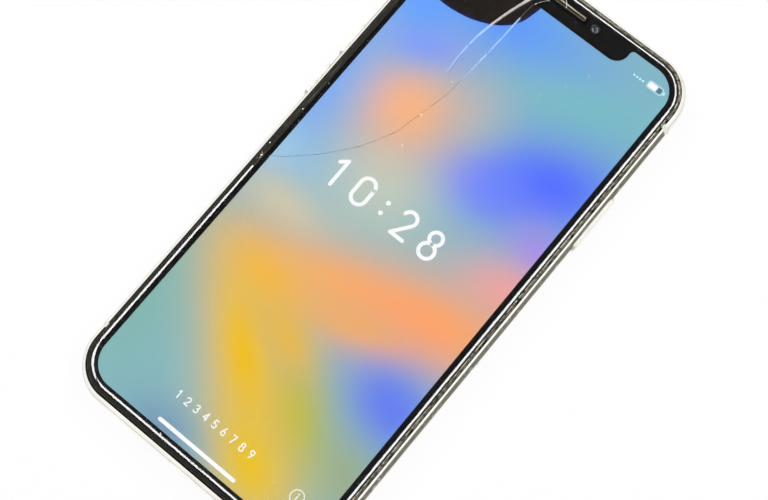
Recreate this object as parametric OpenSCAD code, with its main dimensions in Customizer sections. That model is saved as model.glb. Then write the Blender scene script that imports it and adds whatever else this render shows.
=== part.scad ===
// Shattered screen phone: a slim notch-style smartphone lying on its back.
// X runs across the screen, Y towards the earpiece, Z out of the screen.
// The origin is under the middle of the phone, on the surface it lies on.

/* [Body] */
// Width over the steel band, without the buttons
body_w = 70.9; // [70:0.1:72]
// Length over the steel band
body_l = 143.6; // [142:0.1:145]
// Thickness from the rear glass to the cover glass
body_t = 7.7; // [7.6:0.05:7.9]
// Corner radius of the band, seen from the front
corner_r = 10.75; // [10.25:0.25:11.25]
// How far the camera bump stands out of the rear glass
bump_h = 1.1; // [1:0.1:1.4]

/* [Glass] */
// Thickness of the front and rear glass
glass_t = 0.8; // [0.6:0.05:0.85]
// Distance from the band's outside to the edge of the glass
glass_inset = 1.8; // [1.6:0.1:1.9]
// Radius of the rounded edge of the glass
glass_edge_r = 2.4; // [2.3:0.1:2.8]
// How far in from its edge the glass starts to curve down
glass_curve_w = 1.6; // [1.4:0.1:1.7]
// Width of the gap where the cover glass has cracked through
crack_gap = 0.03; // [0.02:0.01:0.06]

/* [Display] */
// Black border between the band and the lit picture
border = 4.25; // [4:0.05:4.5]
// Width of the sensor notch
notch_w = 34.8; // [30:0.2:36]
// Depth of the sensor notch into the picture
notch_d = 5; // [4.5:0.1:5.5]
// Radius of the notch's lower corners
notch_r = 3.3; // [2:0.1:3.4]

/* [Buttons] */
// How far the side and volume buttons stand out of the band
button_out = 0.4; // [0.3:0.05:0.5]
// How far a button can be pressed
button_travel = 0.3; // [0.2:0.05:0.3]
// Height of the side and volume buttons
button_h = 3; // [2.6:0.1:3.2]
// Middle of the side button along the phone
side_button_y = 29.7; // [28:0.1:31]
// Length of the side button
side_button_l = 15.6; // [14:0.2:16]
// Middle of the volume up button along the phone
volume_up_y = 29.8; // [29:0.1:30]
// Middle of the volume down button along the phone
volume_down_y = 17.2; // [16:0.1:18]
// Length of each volume button
volume_button_l = 9.6; // [9:0.2:10]
// Middle of the ring switch along the phone
ring_switch_y = 43; // [42:0.1:44]
// Travel of the ring switch
ring_switch_travel = 1.2; // [1:0.1:1.4]

/* [Rear camera] */
// Middle of the camera bump, to the right of the phone's middle
bump_x = 24.9; // [24:0.1:25]
// Middle of the camera bump along the phone
bump_y = 55.2; // [54:0.1:55.5]
// Width of the camera bump
bump_w = 12.2; // [12:0.1:12.6]
// Length of the camera bump
bump_l = 26.4; // [26:0.2:27]
// Distance between the two rear lenses
lens_pitch = 15.2; // [15:0.1:15.6]

/* [Hidden] */

$fn = 48;
fit = 0.08;                               // running gap round every moving piece
touch = 0.05;                             // gap between pieces that sit close together
over = 1;                                 // how far a cut reaches past what it cuts
far = 100;                                // past the phone on every side
edge_r = body_t / 2;                      // the band's full-round edge
cx = body_w / 2 - corner_r;               // middle of each corner arc
cy = body_l / 2 - corner_r;
z_back = bump_h;                          // outside of the rear glass
z_mid = z_back + edge_r;
z_front = z_back + body_t;                // outside of the cover glass

// Distances out from the middle of a corner arc
r_mid = corner_r - edge_r;                // middle of the band's full round
r_glass = corner_r - glass_inset;         // edge of both glasses
r_seat = r_glass + 0.15;                  // seat of the glass in the band
r_wall = corner_r - 2.25;                 // inside of the band
r_panel = r_glass - 1.05;                 // edge of the display panel
r_active = corner_r - border;             // edge of the lit picture

// Heights of the stack, from the cover glass down
z_glass = z_front - glass_t;
z_panel_top = z_glass - 0.04;
z_panel = z_panel_top - 0.36;
z_plate = z_panel - 0.25;
z_frame = z_plate - 0.3;
z_seal = z_frame - 0.1;                   // ledge in the band that the display sits on
z_rear_in = z_back + glass_t;             // inside of the rear glass
z_floor = z_rear_in + 0.05;               // underside of the midplate
z_cavity = z_floor + 0.6;                 // top of the midplate

wall_x = cx + r_wall;                     // inside of the band's long sides
flange_t = 0.7;                           // inner flange that keeps a button in
flange_out = 0.7;                         // how far that flange reaches past the slot
break_y = 57.5;                           // antenna breaks in the long sides
break_w = 1.2;

notch_y = cy + r_active - notch_d;        // lower edge of the notch
sensor_y = 66.3;                          // row of the front sensors
slot_l = 8.8;                             // earpiece slot in the cover glass
slot_h = 1;
slot_r = 0.45;
slot_y = 66.5;
sensor_top = z_glass - 0.1;               // tops of the parts behind the cover glass
sensor_back = 3.6;                        // backs of the larger ones
front_camera_x = 7.5;
infrared_x = -13.7;
dot_x = 13.6;
module_y = 65.9;                          // middle of the square sensor modules

lever_l = 5.2;                            // ring switch lever
lever_h = 1.6;
lever_r = 0.7;

port_w = 8.9;                             // charging port opening in the band
port_h = 3.1;
port_wall = 0.3;
screw_x = 7.9;                            // screws on each side of the port
hole_r = 0.75;                            // speaker and microphone holes
hole_x = 11.6;                            // first hole from the middle
hole_pitch = 2.55;
hole_count = 6;
bottom_screw_r = 0.85;

lens_r = 4.5;                             // rear lens barrels
flash_r = 1.7;
lens_z = 0.8;                             // fronts of the lenses and the flash
camera_back = 6.4;                        // backs of the rear camera modules

cell_z = z_cavity + 0.1;                  // the cells lie on strips of adhesive
cell_t = 3.6;
cell_r = 1.5;
coil_y = -5;                              // wireless charging coil
coil_r = 23.5;
board_z = z_cavity + 0.3;                 // logic board
board_top = z_cavity + 1.1;
can_top = 5.6;                            // shield cans, and the cover on the connectors
cover_z = 5.5;
cover_top = 5.8;
cover_screws = [[8, 8.7], [25, 8.7]];
plate_screws = [[-29, 49], [-20, 60], [-29, -47.5], [30, -47.5]];

tray_y = -5.4;                            // SIM tray
tray_l = 15.6;
tray_h = 1.9;
tray_in_x = 15;                           // inner end of the tray
tray_w = 13.6;
tray_t = 1.1;
tray_floor = 0.35;
card_l = 12.3;                            // nano card
card_w = 8.8;
card_t = 0.67;
reader_t = 0.3;

// Crack lines in the cover glass, left edge to earpiece, and the short ones beside it
crack_long = [
    [-36, -7.5], [-33, -5.7], [-28.4, -2.6], [-22.5, 2.9], [-16.6, 10.1],
    [-12.5, 17.7], [-10.8, 24.6], [-9.2, 31.5], [-8.9, 34.5], [-8.6, 38.3],
    [-7.9, 50], [-7.7, 56], [-7.2, 62.5], [-4.2, 66.9]
];
branch_from = 8;                          // the point of the long crack that the branch leaves
crack_top = [-3.6, 73];                   // where the long crack runs out past the upper edge
crack_branch = [
    crack_long[branch_from], [-11.9, 36.5], [-12.9, 42.5], [-12.5, 48.2], [-11.4, 54],
    [-9.7, 60], [-7.9, 65.2], [-5.6, 73]
];
crack_chip = [[-4.2, 66.9], [-1.3, 66.9], [-2.4, 68.6], crack_top];

// ---------- shared shapes ----------

module rounded_rect(w, h, r) {
    square([w - 2 * r, h], center = true);
    square([w, h - 2 * r], center = true);
    for (sx = [-1, 1], sy = [-1, 1])
        translate([sx * (w / 2 - r), sy * (h / 2 - r)]) circle(r);
}

// The phone's outline at a given distance out from the corner arcs' middles
module outline(r) {
    rounded_rect(2 * (cx + r), 2 * (cy + r), r);
}

module slab(r, z0, z1) {
    translate([0, 0, z0]) linear_extrude(z1 - z0) outline(r);
}

// Carries a flat section (distance out, height) all round the phone
module around_edge() {
    corners = [[cx, cy], [-cx, cy], [-cx, -cy], [cx, -cy]];
    for (k = [0:3])
        translate([corners[k][0], corners[k][1], 0]) rotate([0, 0, 90 * k]) {
            rotate_extrude(angle = 90, $fn = 96) children();
            rotate([90, 0, 0]) linear_extrude(k % 2 == 0 ? 2 * cy : 2 * cx) children();
        }
}

// A block with round corners, lying along Y and pushed through along X
module rounded_block(x0, x1, y, z, l, h, r) {
    translate([x0, y, z]) rotate([90, 0, 90]) linear_extrude(x1 - x0) rounded_rect(l, h, r);
}

// The same with fully round ends
module slot_block(x0, x1, y, z, l, h) {
    rounded_block(x0, x1, y, z, l, h, h / 2 - 0.01);
}

// The same, lying along X and pushed through along Y
module port_block(y0, y1, x, z, l, h) {
    translate([x, y1, z]) rotate([90, 0, 0]) linear_extrude(y1 - y0) rounded_rect(l, h, h / 2 - 0.01);
}

module box(x0, x1, y0, y1, z0, z1) {
    translate([x0, y0, z0]) cube([x1 - x0, y1 - y0, z1 - z0]);
}

// A block with its middle at x, y
module block(x, y, w, l, z0, z1) {
    box(x - w / 2, x + w / 2, y - l / 2, y + l / 2, z0, z1);
}

// Blocks over a list of areas, each as x from, x to, y from, y to
module plates(areas, z0, z1) {
    for (a = areas) box(a[0], a[1], a[2], a[3], z0, z1);
}

module disc(x, y, r, z0, z1) {
    translate([x, y, z0]) cylinder(r = r, h = z1 - z0);
}

// A hole through the whole phone
module bore(x, y, r) {
    disc(x, y, r, -over, z_front + over);
}

// A pin or hole along Y, from y towards the lower end
module along_y(x, y, z, r, l) {
    translate([x, y, z]) rotate([90, 0, 0]) cylinder(r = r, h = l);
}

// ---------- cover glass and its pieces ----------

module glass_section(z_out, up) {
    intersection() {
        translate([0, up > 0 ? z_out - glass_t : z_out]) square([r_glass, glass_t]);
        union() {
            translate([0, z_out - up * glass_edge_r - glass_edge_r])
                square([r_glass - glass_curve_w, 2 * glass_edge_r]);
            translate([r_glass - glass_curve_w, z_out - up * glass_edge_r]) circle(glass_edge_r, $fn = 128);
        }
    }
}

module whole_glass(z_out, up) {
    around_edge() glass_section(z_out, up);
    box(-cx, cx, -cy, cy, up > 0 ? z_out - glass_t : z_out, up > 0 ? z_out : z_out + glass_t);
}

module through_glass() {
    translate([0, 0, z_glass - over]) linear_extrude(glass_t + 2 * over) children();
}

module cover_glass() {
    difference() {
        whole_glass(z_front, 1);
        through_glass() translate([0, slot_y]) rounded_rect(slot_l, slot_h, slot_r);
    }
}

// The crack gap, laid along every stretch of a crack
module crack_cut(line) {
    for (k = [0:len(line) - 2]) {
        d = line[k + 1] - line[k];
        through_glass() translate(line[k]) rotate(atan2(d[1], d[0]))
            translate([-crack_gap / 2, -crack_gap / 2]) square([norm(d) + crack_gap, crack_gap]);
    }
}

module left_region() {
    polygon(concat(crack_long, [crack_top, [-far, crack_top[1]], [-far, crack_long[0][1]]]));
}

module sliver_region() {
    polygon(concat([for (k = [branch_from:len(crack_long) - 1]) crack_long[k]], [crack_top],
        [for (k = [len(crack_branch) - 1:-1:1]) crack_branch[k]]));
}

module chip_region() {
    polygon(crack_chip);
}

module cracked() {
    difference() {
        children();
        crack_cut(crack_long);
        crack_cut(crack_branch);
        crack_cut([crack_chip[0], crack_top]);
        crack_cut(crack_chip);
    }
}

module glass_main() {
    color("#20262c") difference() {
        cracked() cover_glass();
        through_glass() left_region();
        through_glass() chip_region();
    }
}

module glass_left_shard() {
    color("#2b3440") difference() {
        intersection() {
            cracked() cover_glass();
            through_glass() left_region();
        }
        through_glass() sliver_region();
        through_glass() chip_region();
    }
}

module glass_upper_sliver() {
    color("#3c4a5c") difference() {
        intersection() {
            cracked() cover_glass();
            through_glass() sliver_region();
        }
        through_glass() chip_region();
    }
}

module glass_top_chip() {
    color("#50627a") intersection() {
        cracked() cover_glass();
        through_glass() chip_region();
    }
}

// ---------- display ----------

module notch_cut(extra) {
    reach = 20;
    translate([0, notch_y - extra + reach / 2])
        rounded_rect(notch_w + 2 * extra, reach, notch_r + extra);
}

module display_panel() {
    color("#7f9fd0") translate([0, 0, z_panel]) linear_extrude(z_panel_top - z_panel) difference() {
        outline(r_panel);
        notch_cut(0);
    }
}

module display_back_plate() {
    inset = 0.6;
    notch_gap = 0.4;
    color("#3a3a3e") translate([0, 0, z_plate]) linear_extrude(z_panel - z_plate) difference() {
        outline(r_panel - inset);
        notch_cut(notch_gap);
    }
}

// The frame carries the panel and the glass, and a thin lip runs up round the glass edge
module display_frame() {
    lip_gap = 0.02;
    lip_t = 0.06;
    lip_h = 0.2;
    color("#111214") union() {
        difference() {
            slab(r_seat - touch, z_frame, z_glass);
            slab(r_panel + touch, z_frame - over, z_front);
        }
        around_edge() translate([r_glass + lip_gap, z_glass - lip_h / 2]) square([lip_t, lip_h]);
    }
}

module display_seal() {
    color("#1d1d1f") difference() {
        slab(r_seat - touch, z_seal, z_frame);
        slab(r_wall, z_seal - over, z_front);
    }
}

// A pad on the back plate, folded down to a tail that lies over the connectors
module display_flex() {
    x = 20;
    film = 0.15;
    fold_y = 6;
    drop = 0.55;
    pad_w = 16;
    pad_l = 8;
    tail_w = 12;
    tail_l = 5;
    color("#a8702c") union() {
        box(x - pad_w / 2, x + pad_w / 2, fold_y - pad_l, fold_y, z_plate - film, z_plate);
        box(x - tail_w / 2, x + tail_w / 2, fold_y - film, fold_y, z_plate - drop, z_plate);
        box(x - tail_w / 2, x + tail_w / 2, fold_y, fold_y + tail_l, z_plate - drop, z_plate - drop + film);
    }
}

module earpiece_mesh() {
    flange_t = 0.25;
    rise = 0.3;                           // into the slot of the glass
    pitch = 0.42;
    row_y = 0.2;
    color("#2b2b2d") translate([0, slot_y, z_glass - flange_t]) difference() {
        union() {
            linear_extrude(flange_t) rounded_rect(slot_l + 1.4, slot_h + 1, 2 * slot_r);
            linear_extrude(flange_t + rise)
                rounded_rect(slot_l - 2 * touch, slot_h - 2 * touch, slot_r - touch);
        }
        for (k = [-9:9], row = [-1, 1])
            translate([k * pitch, row * row_y, -over]) cylinder(r = 0.11, h = 3 * over, $fn = 6);
    }
}

module earpiece_speaker() {
    channel_w = 7;
    channel_h = 1.2;
    color("#4a4a4c") difference() {
        block(-1.5, module_y, 10, 6.2, sensor_back, sensor_top - 0.25);
        block(-0.5, slot_y, channel_w, channel_h, z_glass - 1.2, z_front);
    }
}

module front_camera() {
    size = 5.8;
    shoulder = 6;
    barrel_r = 2.3;
    mouth_r = 1.3;
    color("#16181c") difference() {
        union() {
            block(front_camera_x, sensor_y - 0.2, size, size, sensor_back, shoulder);
            disc(front_camera_x, sensor_y, barrel_r, shoulder, sensor_top);
        }
        disc(front_camera_x, sensor_y, mouth_r, sensor_top - 0.5, z_front);
    }
}

module infrared_camera() {
    size = 5;
    shoulder = 5.6;
    barrel_r = 2;
    color("#1c1e24") union() {
        block(infrared_x, module_y, size, size, sensor_back + 0.2, shoulder);
        disc(infrared_x, sensor_y, barrel_r, shoulder, sensor_top);
    }
}

module dot_projector() {
    w = 4.8;
    l = 5;
    shoulder = 6.4;
    barrel_r = 1.8;
    color("#23262c") union() {
        block(dot_x, module_y, w, l, sensor_back, shoulder);
        disc(dot_x, sensor_y, barrel_r, shoulder, sensor_top);
    }
}

// A small sensor that stands up to the glass
module small_sensor(x, w) {
    l = 2.6;
    back = 5.2;
    block(x, sensor_y, w, l, back, sensor_top);
}

module flood_illuminator() {
    color("#33363c") small_sensor(-9.4, 2);
}

module proximity_sensor() {
    color("#2a2c30") small_sensor(-7.5, 1.4);
}

module sensor_bracket() {
    w = 34;
    l = 6.8;
    t = 0.3;
    y = 65.8;
    pin_r = 1;
    color("#8d9095") difference() {
        block(0, y, w, l, sensor_back - 0.1 - t, sensor_back - 0.1);
        bore(0, y + 0.2, pin_r);
    }
}

// ---------- band, midplate and rear glass ----------

module band_section() {
    difference() {
        intersection() {
            translate([r_mid, z_mid]) circle(edge_r, $fn = 128);
            translate([r_wall, z_back]) square([corner_r, body_t]);
        }
        translate([0, z_seal]) square([r_seat, body_t]);
        translate([0, z_back - over]) square([r_seat, z_floor - z_back + over]);
    }
}

// How far the slots reach in and out from the inside of the band
slot_in = 3;
slot_out = 5;

module side_slot(side, y, l, h) {
    x0 = side > 0 ? wall_x - slot_in : -wall_x - slot_out;
    slot_block(x0, x0 + slot_in + slot_out, y, z_mid, l + 2 * fit, h + 2 * fit);
}

module lower_end_holes() {
    drill = 20;
    port_block(-body_l / 2 - over, -cy, 0, z_mid, port_w, port_h);
    for (s = [-1, 1]) {
        along_y(s * screw_x, -cy, z_mid, bottom_screw_r + 2 * touch, drill);
        for (k = [0:hole_count - 1])
            along_y(s * (hole_x + k * hole_pitch), -cy, z_mid, hole_r, drill);
    }
}

module whole_band() {
    difference() {
        around_edge() band_section();
        side_slot(1, side_button_y, side_button_l, button_h);
        side_slot(1, tray_y, tray_l, tray_h);
        side_slot(-1, volume_up_y, volume_button_l, button_h);
        side_slot(-1, volume_down_y, volume_button_l, button_h);
        rounded_block(-wall_x - slot_out, -wall_x + slot_in, ring_switch_y, z_mid,
            lever_l + 2 * fit, lever_h + ring_switch_travel + 2 * fit, lever_r + fit);
        lower_end_holes();
    }
}

module band_part(x0, x1, y0, y1) {
    color("#d9d8d2") intersection() {
        whole_band();
        box(x0, x1, y0, y1, 0, z_front + over);
    }
}

module band_top() {
    band_part(-far, far, break_y + break_w / 2, far);
}

module band_bottom() {
    band_part(-far, far, -far, -break_y - break_w / 2);
}

module band_left() {
    band_part(-far, 0, -break_y + break_w / 2, break_y - break_w / 2);
}

module band_right() {
    band_part(0, far, -break_y + break_w / 2, break_y - break_w / 2);
}

module antenna_breaks() {
    color("#c4c3bd") intersection() {
        around_edge() band_section();
        union() {
            for (s = [-1, 1]) block(0, s * break_y, 2 * far, break_w, 0, z_front + over);
        }
    }
}

module midplate() {
    coil_recess = 0.35;
    color("#a9adb1") difference() {
        slab(r_wall, z_floor, z_cavity);
        for (s = [-1, 1]) bore(bump_x, bump_y + s * lens_pitch / 2, lens_r + 2 * touch);
        bore(bump_x, bump_y, flash_r + 4 * touch);
        disc(0, coil_y, coil_r + 0.5, z_floor - over, z_floor + coil_recess);
    }
}

// A flat shape like the camera bump's outline, moved in all round
module bump_shape(inset) {
    rounded_rect(bump_w - 2 * inset, bump_l - 2 * inset, bump_w / 2 - inset - 0.01);
}

module rear_glass() {
    color("#e7e7e4") difference() {
        whole_glass(z_back, -1);
        translate([bump_x, bump_y, -over]) linear_extrude(z_rear_in + 2 * over) bump_shape(0.5);
    }
}

// ---------- rear camera ----------

module camera_bump_ring() {
    foot = 0.25;                          // height of the stepped-in outer edge
    foot_inset = 0.2;
    neck_inset = 0.55;                    // where it goes through the rear glass
    mouth_inset = 0.7;                    // pocket of the cover glass
    mouth_z = 0.8;
    color("#cfcfcb") translate([bump_x, bump_y, 0]) difference() {
        union() {
            translate([0, 0, foot]) linear_extrude(z_back - foot) bump_shape(0);
            linear_extrude(foot) bump_shape(foot_inset);
            linear_extrude(z_rear_in) bump_shape(neck_inset);
        }
        translate([0, 0, -over]) linear_extrude(mouth_z + over) bump_shape(mouth_inset);
        for (s = [-1, 1]) bore(0, s * lens_pitch / 2, lens_r + touch);
        bore(0, 0, flash_r + 3 * touch);
    }
}

module camera_cover_glass() {
    inset = 0.75;
    sunk = 0.1;
    t = 0.65;
    color("#17181c") translate([bump_x, bump_y, sunk]) linear_extrude(t) bump_shape(inset);
}

// A rear camera: barrel, square module behind it, and the recess in front of its lens
module rear_camera(y, recess_r) {
    shoulder = 3.4;
    size = 9.2;
    side_x = 4.4;                         // flattened beside the band
    recess_z = 2;
    difference() {
        union() {
            disc(bump_x, y, lens_r, lens_z, shoulder);
            box(bump_x - size / 2, bump_x + side_x, y - size / 2, y + size / 2, shoulder, camera_back);
        }
        disc(bump_x, y, recess_r, 0, recess_z);
    }
}

module wide_camera() {
    color("#202228") rear_camera(bump_y + lens_pitch / 2, 2.4);
}

module tele_camera() {
    color("#202228") rear_camera(bump_y - lens_pitch / 2, 1.9);
}

module flash_led() {
    base = 5;
    base_z = 3;
    base_t = 0.6;
    color("#f1e7b8") union() {
        disc(bump_x, bump_y, flash_r, lens_z, base_z);
        block(bump_x, bump_y, base, base, base_z, base_z + base_t);
    }
}

module rear_microphone() {
    top = 4;
    color("#55565a") block(bump_x - 6.9, bump_y, 3, 4, z_cavity, top);
}

// ---------- batteries and charging coil ----------

module battery_cell(x, y, w, l) {
    translate([x, y, cell_z]) linear_extrude(cell_t) rounded_rect(w, l, cell_r);
}

module battery_long_cell() {
    color("#1f2022") battery_cell(-13.6, 12, 33.4, 64);
}

module battery_short_cell() {
    color("#242527") battery_cell(0, -33, 63.6, 24);
}

module battery_adhesive() {
    long_strips = [for (x = [-24, -14, -4]) [x - 2.5, x + 2.5, -18, 42]];
    short_strips = [for (x = [-20, 20]) [x - 4, x + 4, -44, -22]];
    color("#f2f0ea") plates(concat(long_strips, short_strips), z_cavity, cell_z);
}

// The link between the cells, and the plug on the board
module battery_flex() {
    link = [-6, 3, -20.8, -20.2];
    plug = [3.15, 7, -18.5, -16.5];
    plug_t = 0.2;
    color("#9c6a2a") union() {
        plates([link], 3, 6);
        plates([plug], board_top, board_top + plug_t);
    }
}

module charging_coil() {
    hole = 10.5;
    t = 0.25;
    color("#b5733a") difference() {
        disc(0, coil_y, coil_r, z_floor + touch, z_floor + touch + t);
        bore(0, coil_y, hole);
    }
}

// ---------- logic board ----------

module logic_board() {
    arms = [[5, 30.8, 5, 42.6], [5, 12, -19, 5], [8, 16.5, 42.6, 60]];
    color("#1f4a37") union() plates(arms, board_z, board_top);
}

module shield_cans() {
    cans = [[6, 16, 12, 24], [17.5, 28, 14, 24], [6, 22, 26, 42]];
    color("#b9bcc0") plates(cans, board_top, can_top);
}

module connector_cover() {
    color("#9a9da2") difference() {
        plates([[7, 26, 6, 11.4]], cover_z, cover_top);
        for (p = cover_screws) bore(p[0], p[1], 0.55);
    }
}

module internal_screws() {
    shank_r = 0.5;
    head_r = 1;
    head_t = 0.4;
    plate_screw_top = 3.6;
    color("#8a8d92") {
        for (p = cover_screws) {
            disc(p[0], p[1], shank_r, board_top + touch, cover_top);
            disc(p[0], p[1], head_r, cover_top, cover_top + head_t);
        }
        for (p = plate_screws) disc(p[0], p[1], head_r, z_cavity, plate_screw_top);
    }
}

module sim_reader() {
    wall = 0.3;
    side = 0.6;
    color("#b4b7ba") difference() {
        box(tray_in_x - over - wall, wall_x - wall, tray_y - tray_w / 2 - side, tray_y + tray_w / 2 + side,
            z_mid - tray_t / 2 - fit - reader_t, z_mid + tray_t / 2 + fit + reader_t);
        box(tray_in_x - over, wall_x, tray_y - tray_w / 2 - fit, tray_y + tray_w / 2 + fit,
            z_mid - tray_t / 2 - fit, z_mid + tray_t / 2 + fit);
    }
}

// The tray's tongue holds the card, and its outer end closes the slot and follows the band
module sim_tray() {
    z0 = z_mid - tray_t / 2;
    neck = 0.6;                           // how far the tongue reaches into the outer end
    card_x = tray_in_x + 1.4;
    pin_inset = 1.6;
    pin_r = 0.45;
    color("#d5d4cf") difference() {
        union() {
            box(tray_in_x, wall_x + neck, tray_y - tray_w / 2, tray_y + tray_w / 2, z0, z0 + tray_t);
            intersection() {
                slot_block(wall_x + 2 * touch, wall_x + slot_out, tray_y, z_mid, tray_l, tray_h);
                translate([cx + r_mid, 0, z_mid]) rotate([90, 0, 0])
                    cylinder(r = edge_r, h = body_l, center = true, $fn = 128);
            }
        }
        box(card_x, card_x + card_l + 2 * touch, tray_y - card_w / 2 - touch,
            tray_y + card_w / 2 + touch, z0 + tray_floor, z_front);
        translate([wall_x + over, tray_y - tray_l / 2 + pin_inset, z_mid]) rotate([0, 90, 0])
            cylinder(r = pin_r, h = far);
    }
}

module sim_card() {
    x = tray_in_x + 1.4 + touch;
    z0 = z_mid - tray_t / 2 + tray_floor;
    color("#ece9df") box(x, x + card_l, tray_y - card_w / 2, tray_y + card_w / 2, z0, z0 + card_t);
}

// ---------- lower end ----------

module vibration_motor() {
    color("#8f9296") plates([[-31, -9, -61.5, -48.8]], z_cavity, 6.4);
}

module loudspeaker() {
    color("#2d2e31") plates([[9.5, 29.5, -66.5, -48.8]], z_cavity, 6.2);
}

module charging_port() {
    w = port_w - 2 * touch;
    h = port_h - 2 * touch;
    inner_y = -62;
    sunk = 0.55;                          // its mouth lies this far inside the band's end
    color("#5e6064") difference() {
        port_block(-body_l / 2 + sunk, inner_y, 0, z_mid, w, h);
        port_block(-body_l / 2 - over, inner_y - over, 0, z_mid, w - 2 * port_wall, h - 2 * port_wall);
    }
}

// From the board end under the port, with a strip to the left for the microphones
module charging_flex() {
    t = 0.2;
    riser_top = 3.3;
    runs = [[-7, 7, -61.9, -47], [-28, -8, -67, -62.4], [-8, 3, -63.2, -62.4]];
    color("#8c5f2a") union() {
        plates(runs, z_cavity, z_cavity + t);
        plates([[-7, 3, -62.4, -61.9]], z_cavity, riser_top);
    }
}

module bottom_microphones() {
    w = 3.2;
    l = 2.6;
    top = 5.6;
    color("#77797d") for (x = [-21.8, -14.2]) block(x, -65.7, w, l, z_cavity + 0.2, top);
}

// Two screws beside the port, each with a five-lobed socket in its head
module bottom_screws() {
    head_y = -cy - 8;
    tip_y = -63.5;
    shank_r = 0.6;
    sunk = 0.25;                          // head below the band's end
    lobe_r = 0.17;
    lobe_out = 0.28;
    socket_y = -body_l / 2 + sunk;
    color("#c9c8c2") for (s = [-1, 1]) difference() {
        union() {
            along_y(s * screw_x, head_y, z_mid, bottom_screw_r, body_l / 2 + head_y - sunk);
            along_y(s * screw_x, tip_y, z_mid, shank_r, tip_y - head_y);
        }
        for (a = [0:72:288])
            along_y(s * screw_x + lobe_out * cos(a), socket_y + 0.3, z_mid + lobe_out * sin(a),
                lobe_r, 2 * over, $fn = 16);
        along_y(s * screw_x, socket_y + 0.3, z_mid, lobe_r + 0.08, 2 * over);
    }
}

// ---------- buttons ----------

button_back = wall_x - 0.15;              // where a button's stem meets its flange
chamfer = 0.2;                            // step round the end of every button

// A pressed button: stem through the band's slot, flange behind it
module button(side, y, l) {
    tip = body_w / 2 + button_out;
    flange_h = button_h + 0.4;
    mirror([side > 0 ? 0 : 1, 0, 0]) union() {
        slot_block(button_back, tip - chamfer, y, z_mid, l, button_h);
        slot_block(tip - chamfer, tip, y, z_mid, l - 2 * chamfer, button_h - 2 * chamfer);
        slot_block(button_back - flange_t, button_back, y, z_mid, l + 2 * flange_out, flange_h);
    }
}

// The switch behind a button: its domed key, and the carrier it sits on
module button_switch(side, y, l) {
    face = button_back - flange_t - button_travel - touch;
    key_t = 0.3;
    key_l = 2.6;
    key_h = 2.4;
    carrier_t = 0.6;
    carrier_h = 3.2;
    mirror([side > 0 ? 0 : 1, 0, 0]) {
        slot_block(face - key_t, face, y, z_mid, key_l, key_h);
        box(face - key_t - carrier_t, face - key_t, y - l / 2 + over, y + l / 2 - over,
            z_mid - carrier_h / 2, z_mid + carrier_h / 2);
    }
}

module side_button() {
    color("#dddcd6") button(1, side_button_y, side_button_l);
}

module side_button_switch() {
    color("#b98b3a") button_switch(1, side_button_y, side_button_l);
}

module volume_up_button() {
    color("#dddcd6") button(-1, volume_up_y, volume_button_l);
}

module volume_down_button() {
    color("#dddcd6") button(-1, volume_down_y, volume_button_l);
}

module volume_switches() {
    color("#b98b3a") {
        button_switch(-1, volume_up_y, volume_button_l);
        button_switch(-1, volume_down_y, volume_button_l);
    }
}

module ring_switch() {
    z0 = z_mid - ring_switch_travel / 2;
    stem_x = wall_x - 2 * touch;
    step_x = wall_x + 1.7;
    flange_t = 0.5;
    color("#dddcd6") mirror([1, 0, 0]) union() {
        rounded_block(stem_x, step_x, ring_switch_y, z0, lever_l, lever_h, lever_r);
        rounded_block(step_x, body_w / 2 + 0.2, ring_switch_y, z0,
            lever_l - 2 * chamfer, lever_h - 2 * chamfer, lever_r - chamfer);
        rounded_block(stem_x - flange_t, stem_x, ring_switch_y, z0, lever_l + 2.2, lever_h, lever_r);
    }
}

module ring_switch_base() {
    back = 1.4;
    t = 0.75;
    l = 8;
    h = 3.8;
    color("#e0672a") box(-wall_x + back - t, -wall_x + back, ring_switch_y - l / 2, ring_switch_y + l / 2,
        z_mid - h / 2, z_mid + h / 2);
}

glass_main();
glass_left_shard();
glass_upper_sliver();
glass_top_chip();
display_panel();
display_back_plate();
display_frame();
display_seal();
display_flex();
earpiece_mesh();
earpiece_speaker();
front_camera();
infrared_camera();
dot_projector();
flood_illuminator();
proximity_sensor();
sensor_bracket();
band_top();
band_bottom();
band_left();
band_right();
antenna_breaks();
midplate();
rear_glass();
camera_bump_ring();
camera_cover_glass();
wide_camera();
tele_camera();
flash_led();
rear_microphone();
battery_long_cell();
battery_short_cell();
battery_adhesive();
battery_flex();
charging_coil();
logic_board();
shield_cans();
connector_cover();
internal_screws();
sim_reader();
sim_tray();
sim_card();
vibration_motor();
loudspeaker();
charging_port();
charging_flex();
bottom_microphones();
bottom_screws();
side_button();
side_button_switch();
volume_up_button();
volume_down_button();
volume_switches();
ring_switch();
ring_switch_base();
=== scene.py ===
import math
import random

import bmesh
import bpy
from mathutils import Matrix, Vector
from mathutils.geometry import tessellate_polygon

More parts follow.
